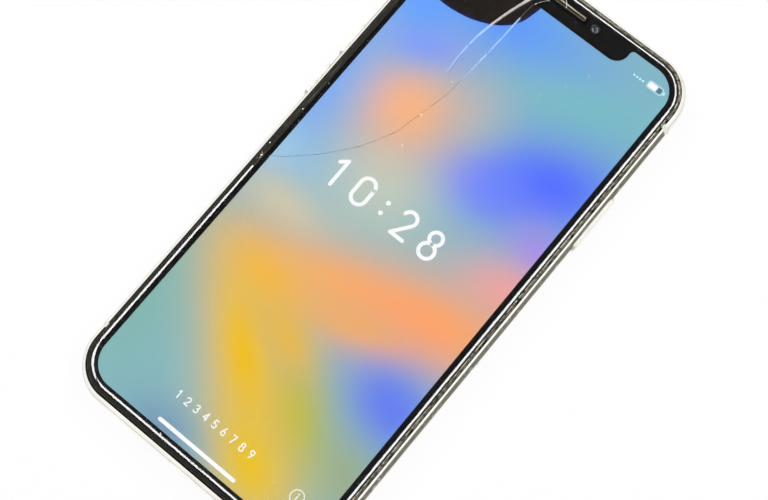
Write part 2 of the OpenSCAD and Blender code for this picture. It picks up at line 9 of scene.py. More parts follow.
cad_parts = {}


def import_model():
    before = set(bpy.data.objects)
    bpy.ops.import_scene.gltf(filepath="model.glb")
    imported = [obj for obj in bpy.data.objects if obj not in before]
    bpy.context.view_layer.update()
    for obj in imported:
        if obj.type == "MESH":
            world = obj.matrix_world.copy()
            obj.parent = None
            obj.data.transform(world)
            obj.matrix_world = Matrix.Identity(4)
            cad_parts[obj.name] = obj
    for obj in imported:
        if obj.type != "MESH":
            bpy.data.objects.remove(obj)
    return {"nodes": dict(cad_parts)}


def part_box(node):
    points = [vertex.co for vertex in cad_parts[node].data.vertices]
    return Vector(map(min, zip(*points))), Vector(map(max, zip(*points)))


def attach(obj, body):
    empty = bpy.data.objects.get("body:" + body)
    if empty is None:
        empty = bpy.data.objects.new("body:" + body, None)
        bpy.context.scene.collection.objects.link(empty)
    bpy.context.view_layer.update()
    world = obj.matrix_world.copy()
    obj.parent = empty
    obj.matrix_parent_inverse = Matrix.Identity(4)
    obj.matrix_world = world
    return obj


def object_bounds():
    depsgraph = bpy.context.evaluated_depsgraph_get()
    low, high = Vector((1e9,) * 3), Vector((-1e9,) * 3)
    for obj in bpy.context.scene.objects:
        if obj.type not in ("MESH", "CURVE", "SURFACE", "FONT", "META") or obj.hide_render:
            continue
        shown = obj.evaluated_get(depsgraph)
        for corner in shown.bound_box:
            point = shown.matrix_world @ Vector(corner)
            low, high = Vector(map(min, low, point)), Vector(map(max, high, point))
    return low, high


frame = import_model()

cad_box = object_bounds()

MM = 0.001  # everything below is in millimetres, and is scaled to metres when a mesh is made


# ------ places, in millimetres

def node_box(name):
    """Lowest and highest corner of a CAD node, in millimetres."""
    low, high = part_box(name)
    return low / MM, high / MM


HALF_W = cad_box[1].x / MM - 0.4  # half the body's width, without the side button
HALF_L = cad_box[1].y / MM  # half the body's length
CORNER_R = 10.75  # corner radius of the body
ARC_X = HALF_W - CORNER_R  # middles of the body's corner arcs
ARC_Y = HALF_L - CORNER_R
Z_PANEL = node_box("display_panel")[1].z  # front of the display panel
Z_GLASS = node_box("glass_main")[0].z  # underside of the cover glass
Z_FRONT = node_box("glass_main")[1].z  # outside of the cover glass

PICTURE_R = 6.5  # corner radius of the lit picture
PRINT_R = 7.88  # corner radius of the black border's outside
NOTCH_HALF_W = 17.4
NOTCH_Y = 62.55  # lower edge of the notch
NOTCH_R = 3.3  # lower corners of the notch
FLARE_R = 1.0  # where the notch runs out into the top edge
SENSOR_Y = 66.3  # row of the front sensors
SLOT_Y = 66.5  # earpiece slot
FRONT_CAMERA_X = 7.5
BREAK_Y = 57.0  # lower side of the antenna breaks near the top

# layers between the panel and the cover glass
Z_PICTURE = Z_PANEL + 0.010
Z_OVERLAY = Z_PANEL + 0.022
Z_PRINT = Z_PANEL + 0.034
FILM = 0.005  # thickness of each printed or lit layer


# ------ colours and node helpers

def rgba(colour):
    """A linear colour from three 0-255 display values; four values are linear already."""
    def linear(value):
        share = value / 255
        return share / 12.92 if share <= 0.04045 else ((share + 0.055) / 1.055) ** 2.4
    return colour if len(colour) == 4 else (*map(linear, colour), 1.0)


def tinted(colour, share):
    """A colour made darker or lighter by a share."""
    return (*[min(1.0, value * share) for value in rgba(colour)[:3]], 1.0)


class Look:
    """A material with one Principled shader, and short calls for the nodes that feed it."""

    def __init__(self, name, colour, roughness, **values):
        self.material = bpy.data.materials.new(name)
        self.material.use_nodes = True
        self.nodes = self.material.node_tree.nodes
        self.links = self.material.node_tree.links
        self.shader = self.nodes["Principled BSDF"]
        self.shader.inputs["Base Color"].default_value = rgba(colour)
        self.shader.inputs["Roughness"].default_value = roughness
        for socket, value in values.items():
            self.shader.inputs[socket.replace("_", " ")].default_value = value
        self.bumps = None

    def node(self, kind, **settings):
        made = self.nodes.new(kind)
        for setting, value in settings.items():
            setattr(made, setting, value)
        return made

    def link(self, source, target):
        self.links.new(source, target)

    def place(self, stretch=(1, 1, 1), turn=(0, 0, 0), shift=(0, 0, 0)):
        """Object coordinates in millimetres, stretched and turned."""
        coordinates = self.node("ShaderNodeTexCoord")
        mapping = self.node("ShaderNodeMapping")
        mapping.inputs["Scale"].default_value = [value / MM for value in stretch]
        mapping.inputs["Rotation"].default_value = [math.radians(value) for value in turn]
        mapping.inputs["Location"].default_value = shift
        self.link(coordinates.outputs["Object"], mapping.inputs["Vector"])
        return mapping.outputs["Vector"]

    def axes(self):
        """The x, y and z sockets of the object coordinates, in millimetres."""
        parts = self.node("ShaderNodeSeparateXYZ")
        self.link(self.place(), parts.inputs[0])
        return [parts.outputs[axis] for axis in "XYZ"]

    def noise(self, scale, detail=3, stretch=(1, 1, 1), turn=(0, 0, 0), roughness=0.55):
        """Soft noise; scale is how many waves there are in a millimetre."""
        made = self.node("ShaderNodeTexNoise")
        made.inputs["Scale"].default_value = scale
        made.inputs["Detail"].default_value = detail
        made.inputs["Roughness"].default_value = roughness
        self.link(self.place(stretch, turn), made.inputs["Vector"])
        return made.outputs["Fac"]

    def cells(self, scale, stretch=(1, 1, 1), feature="F1"):
        made = self.node("ShaderNodeTexVoronoi", feature=feature)
        made.inputs["Scale"].default_value = scale
        self.link(self.place(stretch), made.inputs["Vector"])
        return made.outputs["Distance"]

    def band(self, source, low, high, to_low=0.0, to_high=1.0):
        """source moved from low..high to to_low..to_high, and held there outside."""
        made = self.node("ShaderNodeMapRange", interpolation_type="SMOOTHSTEP")
        self.link(source, made.inputs["Value"])
        made.inputs["From Min"].default_value = low
        made.inputs["From Max"].default_value = high
        made.inputs["To Min"].default_value = to_low
        made.inputs["To Max"].default_value = to_high
        return made.outputs["Result"]

    def math(self, operation, *values):
        """One sum, product or other result of values; each is a number or a socket."""
        if len(values) > 2:
            values = (self.math(operation, *values[:-1]), values[-1])
        made = self.node("ShaderNodeMath", operation=operation)
        for socket, value in zip(made.inputs, values):
            if isinstance(value, (int, float)):
                socket.default_value = value
            else:
                self.link(value, socket)
        return made.outputs["Value"]

    def away(self, source, middle):
        """How far source is from a value, to either side."""
        return self.math("ABSOLUTE", self.math("SUBTRACT", source, middle))

    def mix(self, factor, first, second):
        """Colour between first and second; each is a colour or a socket."""
        made = self.node("ShaderNodeMix", data_type="RGBA")
        self.link(factor, made.inputs["Factor"])
        for socket, value in ((made.inputs[6], first), (made.inputs[7], second)):
            if isinstance(value, tuple):
                socket.default_value = rgba(value)
            else:
                self.link(value, socket)
        return made.outputs[2]

    def colour(self, source):
        self.link(source, self.shader.inputs["Base Color"])

    def tones(self, source, low, high, first, second):
        """Colours the shader from first to second as source goes from low to high."""
        tone = self.mix(self.band(source, low, high), first, second)
        self.colour(tone)
        return tone

    def glow(self, source, level):
        self.link(source, self.shader.inputs["Emission Color"])
        self.shader.inputs["Emission Strength"].default_value = level

    def rough(self, source):
        self.link(source, self.shader.inputs["Roughness"])

    def uneven_gloss(self, scale, low, high, detail=3):
        """Roughness that goes from low to high in fine patches."""
        self.rough(self.band(self.noise(scale, detail), 0.3, 0.7, low, high))

    def bump(self, source, depth):
        """Adds a bump; depth is in millimetres."""
        made = self.node("ShaderNodeBump")
        made.inputs["Strength"].default_value = 1.0
        made.inputs["Distance"].default_value = depth * MM
        self.link(source, made.inputs["Height"])
        if self.bumps is not None:
            self.link(self.bumps, made.inputs["Normal"])
        self.bumps = made.outputs["Normal"]
        self.link(self.bumps, self.shader.inputs["Normal"])


def plain_finish(name, colour, roughness, spread=0.12, grain=2.0, depth=0.004, **values):
    """Moulded, coated or printed stuff: slightly uneven colour and gloss, and a fine grain."""
    look = Look(name, colour, roughness, **values)
    cloud = look.noise(grain * 0.25, detail=4)
    look.tones(cloud, 0.3, 0.7, tinted(colour, 1 - spread), tinted(colour, 1 + spread))
    fine = look.noise(grain * 3, detail=2)
    look.rough(look.band(fine, 0.3, 0.7, roughness * 0.85, min(1.0, roughness * 1.2)))
    look.bump(fine, depth)
    return look.material


# ------ materials of the front

def cover_glass():
    """Clear, hard glass: a crisp outer coating over faint smears that change only its gloss."""
    look = Look("cover_glass", (1, 1, 1, 1), 0.0, Transmission_Weight=1.0, IOR=1.5,
                Coat_Weight=1.0, Coat_IOR=2.25, Coat_Roughness=0.0)
    smear = look.noise(0.06, detail=5, stretch=(1, 1.7, 1), turn=(0, 0, 25))
    look.rough(look.band(smear, 0.52, 0.75, 0.0, 0.05))
    return look.material


FIELD_BASE = (133, 183, 193)
# soft fields of light on the screen: centre x, y, reach across, along, turn in degrees, colour
FIELDS = (
    (-16, 57, 30, 14, -6, (92, 152, 255)),
    (17, 48, 23, 8, 22, (122, 188, 196)),
    (22, 29, 19, 11, 26, (80, 106, 255)),
    (11, 21, 13, 8, 22, (100, 128, 255)),
    (31, 16, 9, 7, 0, (158, 144, 232)),
    (-2, 34, 9, 9, 0, (160, 182, 194)),
    (-8, 6, 16, 13, 0, (188, 202, 190)),
    (-15, 24, 13, 12, 0, (250, 180, 126)),
    (-21, 39, 11, 6, 25, (136, 158, 242)),
    (-28, 47, 9, 8, 0, (100, 160, 255)),
    (-37, 15, 13, 26, 0, (124, 170, 252)),
    (-35, -2, 13, 8, 0, (158, 200, 230)),
    (-22, -11, 13, 6, 0, (200, 200, 180)),
    (31, 5, 12, 7, 15, (230, 164, 172)),
    (2, -17, 22, 7, 12, (234, 180, 122)),
    (20, -13, 28, 11, 20, (255, 164, 100)),
    (-35, -44, 13, 24, 12, (132, 182, 174)),
    (27, -32, 13, 10, -20, (100, 126, 240)),
    (9, -22, 12, 5, 17, (236, 172, 112)),
    (31, -50, 13, 8, -20, (150, 172, 150)),
    (12, -46, 16, 8, -42, (170, 184, 92)),
    (-13, -26, 14, 8, -8, (244, 180, 84)),
    (-6, -43, 26, 9, -41, (240, 190, 26)),
    (-1, -34, 10, 5, -25, (228, 184, 80)),
    (11, -61, 16, 9, -30, (234, 194, 34)),
    (-9, -68, 10, 7, 0, (120, 154, 184)),
)
SCREEN_LEVEL = 1.43  # makes up for what the cover glass takes away


def lit_picture():
    """The lit screen: broad, soft fields of colour that melt into each other."""
    look = Look("lit_picture", (0, 0, 0, 1), 0.35, Specular_IOR_Level=0.1)
    coordinates = look.node("ShaderNodeTexCoord").outputs["Object"]
    light = FIELD_BASE
    for x, y, across, along, turn, colour in FIELDS:
        mapping = look.node("ShaderNodeMapping", vector_type="TEXTURE")
        mapping.inputs["Location"].default_value = (x * MM, y * MM, 0)
        mapping.inputs["Rotation"].default_value = (0, 0, math.radians(turn))
        mapping.inputs["Scale"].default_value = (across * MM, along * MM, 1)
        look.link(coordinates, mapping.inputs["Vector"])
        square = look.node("ShaderNodeVectorMath", operation="DOT_PRODUCT")
        look.link(mapping.outputs["Vector"], square.inputs[0])
        look.link(mapping.outputs["Vector"], square.inputs[1])
        fade = look.math("EXPONENT", look.math("MULTIPLY", square.outputs["Value"], -1.0))
        light = look.mix(fade, light, colour)
    look.glow(light, SCREEN_LEVEL)
    return look.material


def lit_mark(name, colour):
    """Lit numerals, dots and bars on the screen."""
    look = Look(name, (0, 0, 0, 1), 0.35, Specular_IOR_Level=0.1)
    look.glow(look.mix(look.noise(6, detail=1), tinted(colour, 0.97), colour), SCREEN_LEVEL)
    return look.material


def border_black():
    """Black print on the back of the glass, with a slight warm tint."""
    look = Look("border_black", (9, 9, 7), 0.3, Specular_IOR_Level=0.2)
    look.colour(look.mix(look.noise(0.5, detail=4), (8, 6, 3), (16, 14, 8)))
    look.uneven_gloss(9, 0.25, 0.4, detail=2)
    return look.material


def dead_display():
    """Where the display has leaked and gone dark: warm black, a little uneven, with a faint warm
    glow that is painted light for the room light on it.
    """
    look = Look("dead_display", (20, 15, 10), 0.4, Specular_IOR_Level=0.2)
    cloud = look.band(look.noise(0.3, detail=5), 0.35, 0.65)
    look.colour(look.mix(cloud, (24, 14, 7), (38, 26, 16)))
    # painted light: a faint warm glow for the room light on the dark area
    look.glow(look.mix(cloud, (14, 5, 0), (21, 11, 4)), 1.0)
    look.uneven_gloss(7, 0.35, 0.5, detail=2)
    return look.material


def dead_fringe():
    """The stained edge of the dark area, where a little blue light still gets out."""
    look = Look("dead_fringe", (20, 18, 30), 0.4, Specular_IOR_Level=0.2)
    look.glow(look.mix(look.noise(1.5), (6, 14, 62), (30, 34, 96)), 1.0)
    return look.material


def fracture_face(name, shade, light, glow, glow_level):
    """A fracture face, frosted and pale, with fine ribs across it: its glow is painted light for the
    light it sends back, and its ribs are painted from shade to light.
    """
    look = Look(name, light, 0.45, Specular_IOR_Level=0.6)
    ribs = look.band(look.noise(3.0, detail=5, stretch=(1, 2.4, 1), roughness=0.7), 0.32, 0.62)
    look.colour(look.mix(ribs, shade, light))
    # painted light: the glow stands in for the light the fracture sends back
    look.glow(look.mix(ribs, shade, glow), glow_level)
    look.bump(ribs, 0.02)
    return look.material


def grit(name, colour, roughness, shine, grain, tones, depth, edges=(0.3, 0.7), glow=0.0):
    """Dirt, dust or broken glass: grainy, and where glow is given also a painted glow for the
    screen's light from below.
    """
    look = Look(name, colour, roughness, Specular_IOR_Level=shine)
    scale, detail = grain
    noise = look.noise(scale, detail=detail, roughness=0.7)
    dark, light = tones
    tone = look.tones(noise, *edges, dark, light)
    if glow:
        # painted light: a glow for the screen's light on the grains
        look.glow(tone, glow)
    look.bump(noise, depth)
    return look.material


def fracture_dark():
    """A tight crack that is seen as a dark line, with a little dirt in it."""
    return grit("fracture_dark", (112, 104, 82), 0.6, 0.3, (1.3, 5),
                ((100, 94, 74), (148, 138, 110)), 0.01)


def glass_chip():
    """Small chips of glass, with a painted glow for the light they catch."""
    return grit("glass_chip", (228, 228, 222), 0.35, 0.6, (5, 4),
                ((196, 194, 184), (246, 246, 242)), 0.03, edges=(0.35, 0.6), glow=0.65)


def dust(name):
    """Grey dust, with a painted glow for the screen's light from below."""
    return grit(name, (196, 192, 180), 0.9, 0.2, (6, 4),
                ((150, 144, 130), (224, 221, 210)), 0.03, glow=0.55)


def crack_painted_dark():
    """Painted dark for a crack: a dark, grainy cover that hides the crack gap's reflections."""
    return grit("painted_dark", (24, 22, 17), 0.85, 0.1, (2.2, 5), ((18, 16, 11), (40, 36, 28)), 0.02)


def smudge():
    """A dried smear that lightens the black border."""
    look = Look("smudge", (96, 96, 88), 0.7, Specular_IOR_Level=0.2)
    streak = look.noise(2.2, detail=4, stretch=(0.4, 2.2, 1), turn=(0, 0, 35))
    look.tones(streak, 0.3, 0.7, (60, 60, 56), (122, 120, 110))
    return look.material


def coated_lens(name, colour, roughness, coat_ior, grain, dark, light):
    """The coated front of a camera lens, with a faint tint that wanders over it."""
    look = Look(name, colour, roughness, Coat_Weight=1.0, Coat_IOR=coat_ior,
                Coat_Roughness=0.02, Specular_IOR_Level=0.9)
    look.tones(look.noise(grain, detail=2), 0.35, 0.65, dark, light)
    return look.material


STREAK_TOP_Z = 8.42  # the dull streak of dirt starts below this height on the glass edge


def rim_shade_and_dirt_look():
    """The glass's outer edge: painted dark reflection, with a dull streak of dirt that is gritty on
    the right and far side.
    """
    look = Look("rim_shade_and_dirt", (34, 31, 22), 0.8, Specular_IOR_Level=0.2)
    grain = look.noise(1.5, detail=6, roughness=0.8)
    patch = look.noise(0.16, detail=3)
    x, y, z = look.axes()
    side = look.math("ADD", look.band(x, 26, 33), look.band(y, 60, 69))
    strong = look.math("MULTIPLY", side, look.band(patch, 0.3, 0.6, 0.45, 1.0))
    pale = look.math("MULTIPLY", look.band(grain, 0.45, 0.56), look.math("MINIMUM", strong, 1.0),
                     look.band(z, STREAK_TOP_Z, STREAK_TOP_Z - 0.06))
    # painted dark reflection: the dark base along the glass's outer edge
    dull = look.mix(look.band(grain, 0.35, 0.7), (26, 23, 14), (62, 58, 46))
    look.colour(look.mix(pale, dull, (236, 230, 204)))
    look.bump(grain, 0.02)
    return look.material


def edge_shade_film_look():
    """A dull, dark film painted on the broken corner's edge, with fine lines along it: painted shade
    where the tilted glass shows no bright line.
    """
    look = Look("edge_shade_film", (30, 27, 20), 0.55, Specular_IOR_Level=0.25)
    lines = look.noise(2.4, detail=3, stretch=(1, 0.03, 1), roughness=0.7)
    # painted shade: dark tones in place of the missing edge highlight
    look.tones(lines, 0.56, 0.66, (24, 21, 14), (92, 88, 74))
    look.uneven_gloss(3, 0.45, 0.7)
    look.bump(lines, 0.02)
    return look.material


# ------ materials of the body

def polished_steel(name, colour, roughness, wear):
    """Polished stainless steel: hair scratches along it, soft marks, and wear in its gloss."""
    look = Look(name, colour, roughness, Metallic=1.0)
    hair = look.noise(5, detail=5, stretch=(1.0, 0.05, 1.0), roughness=0.75)
    cloud = look.noise(0.16, detail=5)
    look.tone = look.tones(cloud, 0.35, 0.7, colour, tinted(colour, 0.93))
    worn = look.math("MULTIPLY", look.band(hair, 0.52, 0.7), wear)
    look.gloss = look.math("ADD", look.band(cloud, 0.3, 0.75, roughness, roughness + 0.06), worn)
    look.rough(look.gloss)
    look.bump(look.band(hair, 0.55, 0.75), 0.0012)
    nicks = look.cells(0.42, stretch=(1, 0.5, 1))
    look.bump(look.band(nicks, 0.02, 0.09), 0.006)
    return look


REFLECTION_LINE_Z = 6.7  # height of the painted dark reflection line round the band
SIDE_REFLECTION_Z = (5.9, 7.34)  # the broad strip of painted dark reflection along the right side
SHOULDER_Z = 7.82  # above this the band's shoulder is dark: partly the black gasket beside the glass, partly painted dark reflection
SCUFF_PLACE = (30.9, 69.3)  # where the upper right corner has been knocked
SCUFF_REACH = 0.75


def band_steel():
    """The band: polished steel with a painted dark reflection line round it, a painted dark
    reflection strip on the right, and a dark shoulder by the glass.
    """
    look = polished_steel("polished_band", STEEL, 0.05, 0.16)
    x, y, z = look.axes()
    patchy = look.noise(0.22, detail=4)
    gritty = look.noise(1.6, detail=5, stretch=(1, 0.35, 1), roughness=0.75)
    low, high = SIDE_REFLECTION_Z

    # painted reflection: a thin dark line round the band's side
    line = look.math("MULTIPLY", look.band(look.away(z, REFLECTION_LINE_Z), 0.13, 0.05),
                     look.band(patchy, 0.3, 0.46), 0.8)
    # painted reflection: the olive strip on the right side, below the antenna break
    painted_side_reflection = look.math("MULTIPLY", look.band(z, low - 0.08, low + 0.08),
                            look.band(z, high + 0.12, high - 0.12), look.band(x, 33.6, 34.2),
                            look.band(y, BREAK_Y, BREAK_Y - 0.6), look.band(gritty, 0.3, 0.46))
    # painted reflection: a darker olive patch on the band's left side
    painted_left_reflection = look.math("MULTIPLY", look.band(z, 5.4, 5.7), look.band(z, 7.3, 6.9),
                          look.band(x, -33.6, -34.2), look.band(y, 4, 18), 0.7)
    # the dark shoulder: partly the black gasket, partly painted dark reflection
    gasket_and_shade_seam = look.band(z, SHOULDER_Z - 0.05, SHOULDER_Z + 0.05)
    # all the painted dark reflection on the band, with the partly real dark shoulder
    painted_dark = look.math("MAXIMUM", line, painted_side_reflection, painted_left_reflection, gasket_and_shade_seam)

    # colours of the painted reflection strip and its dark upper line, then of the dark shoulder with
    # its pale specks
    reflection_tone = look.mix(look.band(gritty, 0.35, 0.65), (72, 68, 56), (138, 134, 118))
    reflection_tone = look.mix(look.band(look.away(z, high), 0.14, 0.05), reflection_tone, (46, 42, 32))
    side = look.math("MINIMUM", look.math("ADD", look.band(x, 26, 33), look.band(y, 60, 69)), 1.0)
    pale = look.math("MULTIPLY", look.band(z, 7.95, 8.02), look.band(gritty, 0.42, 0.55), side)
    reflection_tone = look.mix(gasket_and_shade_seam, reflection_tone, look.mix(pale, (22, 19, 12), (206, 200, 176)))

    scuff_x, scuff_y = SCUFF_PLACE
    ragged = look.math("ADD", look.away(x, scuff_x), look.away(y, scuff_y),
                       look.band(look.noise(2.6, detail=5), 0.3, 0.7, -0.3, 0.3))
    scuff = look.band(ragged, SCUFF_REACH + 0.1, SCUFF_REACH - 0.1)
    cream = look.mix(look.band(look.noise(4.5, detail=3), 0.36, 0.44), (60, 56, 46), (238, 230, 206))
    look.colour(look.mix(scuff, look.mix(painted_dark, look.tone, reflection_tone), cream))
    spoilt = look.math("MAXIMUM", look.math("MULTIPLY", painted_dark, 0.28),
                       look.math("MULTIPLY", scuff, 0.4))
    look.rough(look.math("ADD", look.gloss, spoilt))
    return look.material


def brushed_metal(name, colour, roughness):
    """Metal inside the body, with the drawing lines of the sheet it was cut from."""
    look = Look(name, colour, roughness, Metallic=1.0)
    lines = look.noise(6.0, detail=3, stretch=(1.0, 0.06, 1.0))
    look.tones(lines, 0.35, 0.65, tinted(colour, 0.82), colour)
    look.rough(look.band(lines, 0.3, 0.7, roughness * 0.8, min(1.0, roughness * 1.3)))
    look.bump(lines, 0.003)
    return look.material


def rear_pearl():
    """White rear glass: paint under a clear coat, with a fine pearl speckle and hair scratches."""
    look = Look("rear_pearl", (236, 236, 230), 0.16, Coat_Weight=1.0, Coat_Roughness=0.03)
    cloud = look.noise(0.05, detail=3)
    pearl = look.mix(look.band(cloud, 0.3, 0.7), (232, 232, 226), (241, 241, 236))
    look.tones(look.cells(9), 0.0, 0.5, (248, 248, 246), pearl)
    scratch = look.noise(3, detail=5, stretch=(0.05, 1.3, 1), turn=(0, 0, 32), roughness=0.8)
    look.rough(look.band(scratch, 0.56, 0.74, 0.14, 0.32))
    look.bump(look.band(scratch, 0.6, 0.75), 0.0015)
    return look.material


def circuit_board():
    """Dark solder mask with copper tracks showing through it as raised lines."""
    look = Look("circuit_board", (22, 40, 34), 0.42)
    shade = look.band(look.cells(0.7, feature="DISTANCE_TO_EDGE"), 0.03, 0.09)
    look.colour(look.mix(shade, (52, 82, 58), (18, 34, 30)))
    look.uneven_gloss(3, 0.36, 0.5)
    look.bump(shade, -0.02)
    return look.material


def wound_copper():
    """Enamelled copper wire, wound in fine rings."""
    look = Look("wound_copper", (184, 108, 62), 0.32, Metallic=1.0)
    rings = look.node("ShaderNodeTexWave", wave_type="RINGS", rings_direction="Z")
    rings.inputs["Scale"].default_value = 0.9
    rings.inputs["Distortion"].default_value = 0.3
    look.link(look.place(shift=(0, 5, 0)), rings.inputs["Vector"])
    look.colour(look.mix(rings.outputs["Fac"], (120, 62, 32), (204, 128, 78)))
    look.uneven_gloss(3, 0.26, 0.4)
    look.bump(rings.outputs["Fac"], 0.03)
    return look.material


def battery_wrap():
    """Black battery film with soft wrinkles."""
    look = Look("battery_wrap", (30, 31, 33), 0.42)
    fold = look.noise(0.12, detail=4, stretch=(1, 0.5, 1))
    look.colour(look.mix(fold, (24, 25, 27), (40, 41, 44)))
    look.uneven_gloss(2, 0.36, 0.5)
    look.bump(fold, 0.15)
    return look.material


def woven_mesh():
    """Fine woven steel over the earpiece, worn to a khaki tone."""
    look = Look("woven_mesh", (126, 120, 102), 0.42, Metallic=0.9)
    holes = look.cells(2.6)
    look.tones(holes, 0.16, 0.34, (16, 14, 10), (84, 78, 64))
    look.uneven_gloss(4, 0.36, 0.52)
    look.bump(look.band(holes, 0.12, 0.36), 0.05)
    return look.material


def lens_black():
    """Black anodised lens barrel, a little dusty, with a fine grain."""
    look = Look("lens_black", (15, 16, 19), 0.3, Specular_IOR_Level=0.6)
    look.tones(look.noise(1.2, detail=4), 0.3, 0.7, (11, 12, 15), (24, 25, 29))
    look.uneven_gloss(8, 0.24, 0.4)
    look.bump(look.noise(8, detail=1), 0.004)
    return look.material


def lens_glass():
    """Clear, faintly blue glass over the rear cameras and the flash, with faint smears."""
    look = Look("lens_glass", (0.78, 0.8, 0.84, 1), 0.0, Transmission_Weight=1.0, IOR=1.5)
    look.rough(look.band(look.noise(0.3, detail=4), 0.5, 0.75, 0.0, 0.04))
    return look.material


def flash_amber():
    """The flash's phosphor: warm yellow with a soft grain."""
    look = Look("flash_amber", (232, 204, 120), 0.5)
    look.tones(look.noise(4, detail=3), 0.3, 0.7, (222, 190, 100), (242, 220, 150))
    look.bump(look.cells(2.2), 0.05)
    return look.material


def flex_film():
    """Brown-black flexible circuit with faint tracks along it."""
    look = Look("flex_film", (46, 36, 26), 0.4)
    tracks = look.band(look.noise(3.0, detail=1, stretch=(1.4, 0.06, 1)), 0.4, 0.6)
    look.colour(look.mix(tracks, (38, 29, 21), (88, 62, 34)))
    look.uneven_gloss(3, 0.34, 0.48)
    look.bump(tracks, 0.01)
    return look.material


def antenna_plastic():
    """Cream plastic in the antenna breaks, with stained patches."""
    look = Look("antenna_plastic", (232, 227, 210), 0.42)
    dirt = look.noise(0.9, detail=5, roughness=0.7)
    look.tones(dirt, 0.45, 0.75, (238, 233, 218), (206, 198, 174))
    look.uneven_gloss(5, 0.36, 0.52)
    look.bump(look.noise(6, detail=2), 0.004)
    return look.material


STEEL = (247, 245, 238)


def slot_materials():
    """One finished material for each of the record's material slots."""
    return {
        "cover_glass": cover_glass(),
        "display": plain_finish("panel_edge", (24, 25, 28), 0.3, depth=0.002),
        "display_metal": brushed_metal("display_metal", (126, 128, 132), 0.38),
        "black_plastic": plain_finish("black_plastic", (26, 26, 24), 0.5),
        "seal_rubber": plain_finish("seal_rubber", (22, 22, 21), 0.75, grain=3.0),
        "flex_circuit": flex_film(),
        "mesh_metal": woven_mesh(),
        "lens_black": lens_black(),
        "bracket_steel": brushed_metal("bracket_steel", (176, 176, 174), 0.34),
        "polished_band": band_steel(),
        "antenna_plastic": antenna_plastic(),
        "midplate_aluminium": brushed_metal("midplate_aluminium", (168, 170, 172), 0.42),
        "rear_glass": rear_pearl(),
        "lens_glass": lens_glass(),
        "flash_amber": flash_amber(),
        "battery_wrap": battery_wrap(),
        "adhesive_white": plain_finish("adhesive_white", (226, 226, 220), 0.7),
        "copper": wound_copper(),
        "circuit_board": circuit_board(),
        "card_plastic": plain_finish("card_plastic", (224, 224, 222), 0.4),
        "switch_parts": brushed_metal("switch_parts", (196, 172, 116), 0.36),
        "switch_orange": plain_finish("switch_orange", (226, 96, 34), 0.45),
    }


SLOTS = slot_materials()


def finish_cad_nodes():
    """Gives every CAD node the finished material of its slot, or its own where it differs."""
    satin = polished_steel("satin_buttons", STEEL, 0.5, 0.1).material
    buttons = ("side_button", "volume_up_button", "volume_down_button", "ring_switch")
    for name, node in frame["nodes"].items():
        for index, material in enumerate(node.data.materials):
            slot_look = SLOTS[material.name.split(".")[0]]
            node.data.materials[index] = satin if name in buttons else slot_look


# ------ outlines

def arc(x, y, radius, start, end, steps=16):
    """Points on an arc round (x, y); angles are in degrees."""
    angles = [math.radians(start + (end - start) * k / steps) for k in range(steps + 1)]
    return [(x + radius * math.cos(a), y + radius * math.sin(a)) for a in angles]


def circle(x, y, radius, steps=48):
    return arc(x, y, radius, 0, 360, steps)[:-1]


def rounded(x, y, half_w, half_h, radius, steps=10):
    """A rounded rectangle, anticlockwise."""
    inner_x = half_w - radius
    inner_y = half_h - radius
    points = []
    for quarter, (side_x, side_y) in enumerate(((1, 1), (-1, 1), (-1, -1), (1, -1))):
        start = 90 * quarter
        points += arc(x + side_x * inner_x, y + side_y * inner_y, radius, start, start + 90, steps)
    return points


def body_outline(radius, steps=28):
    """The body's outline, moved in until its corner arcs have this radius."""
    return rounded(0, 0, ARC_X + radius, ARC_Y + radius, radius, steps)


EDGE_R = 2.4  # radius of the cover glass's rounded edge
EDGE_START_R = 7.35  # where that edge starts, out from the middle of a corner arc


def glass_edge_z(radius):
    """Height of the cover glass at a distance out from the middle of a corner arc."""
    run = max(0.0, radius - EDGE_START_R)
    return Z_FRONT - EDGE_R + math.sqrt(EDGE_R ** 2 - run ** 2)


def out_from_arcs(x, y):
    """How far a point lies outside the rectangle through the middles of the corner arcs."""
    return math.hypot(max(0.0, abs(x) - ARC_X), max(0.0, abs(y) - ARC_Y))


def glass_z(x, y):
    """Height of the cover glass over a point, also on its rounded edge."""
    return glass_edge_z(out_from_arcs(x, y))


def picture_outline():
    """The lit picture: rounded corners, and the notch with its flared upper ends."""
    flare_x = NOTCH_HALF_W + FLARE_R
    flare_y = ARC_Y + PICTURE_R - FLARE_R
    right = arc(ARC_X, -ARC_Y, PICTURE_R, -90, 0, 24)
    right += arc(ARC_X, ARC_Y, PICTURE_R, 0, 90, 24)
    right += arc(flare_x, flare_y, FLARE_R, 90, 180, 8)
    right += arc(NOTCH_HALF_W - NOTCH_R, NOTCH_Y + NOTCH_R, NOTCH_R, 0, -90, 12)
    return right + [(-x, y) for x, y in reversed(right)]


def resample(points, step):
    """Points every step or so along a line of straight stretches."""
    made = [points[0]]
    for (ax, ay), (bx, by) in zip(points, points[1:]):
        count = max(1, round(math.hypot(bx - ax, by - ay) / step))
        made += [(ax + (bx - ax) * k / count, ay + (by - ay) * k / count)
                 for k in range(1, count + 1)]
    return made


def smooth_line(points, steps=6):
    """A Catmull-Rom curve through the points."""
    made = []
    ends = [points[0], *points, points[-1]]
    for k in range(1, len(ends) - 2):
        a, b, c, d = ends[k - 1:k + 3]
        for i in range(steps):
            t = i / steps
            made.append(tuple(
                0.5 * (2 * b[n] + (c[n] - a[n]) * t
                       + (2 * a[n] - 5 * b[n] + 4 * c[n] - d[n]) * t * t
                       + (3 * b[n] - a[n] - 3 * c[n] + d[n]) * t ** 3)
                for n in (0, 1)))
    return made + [points[-1]]


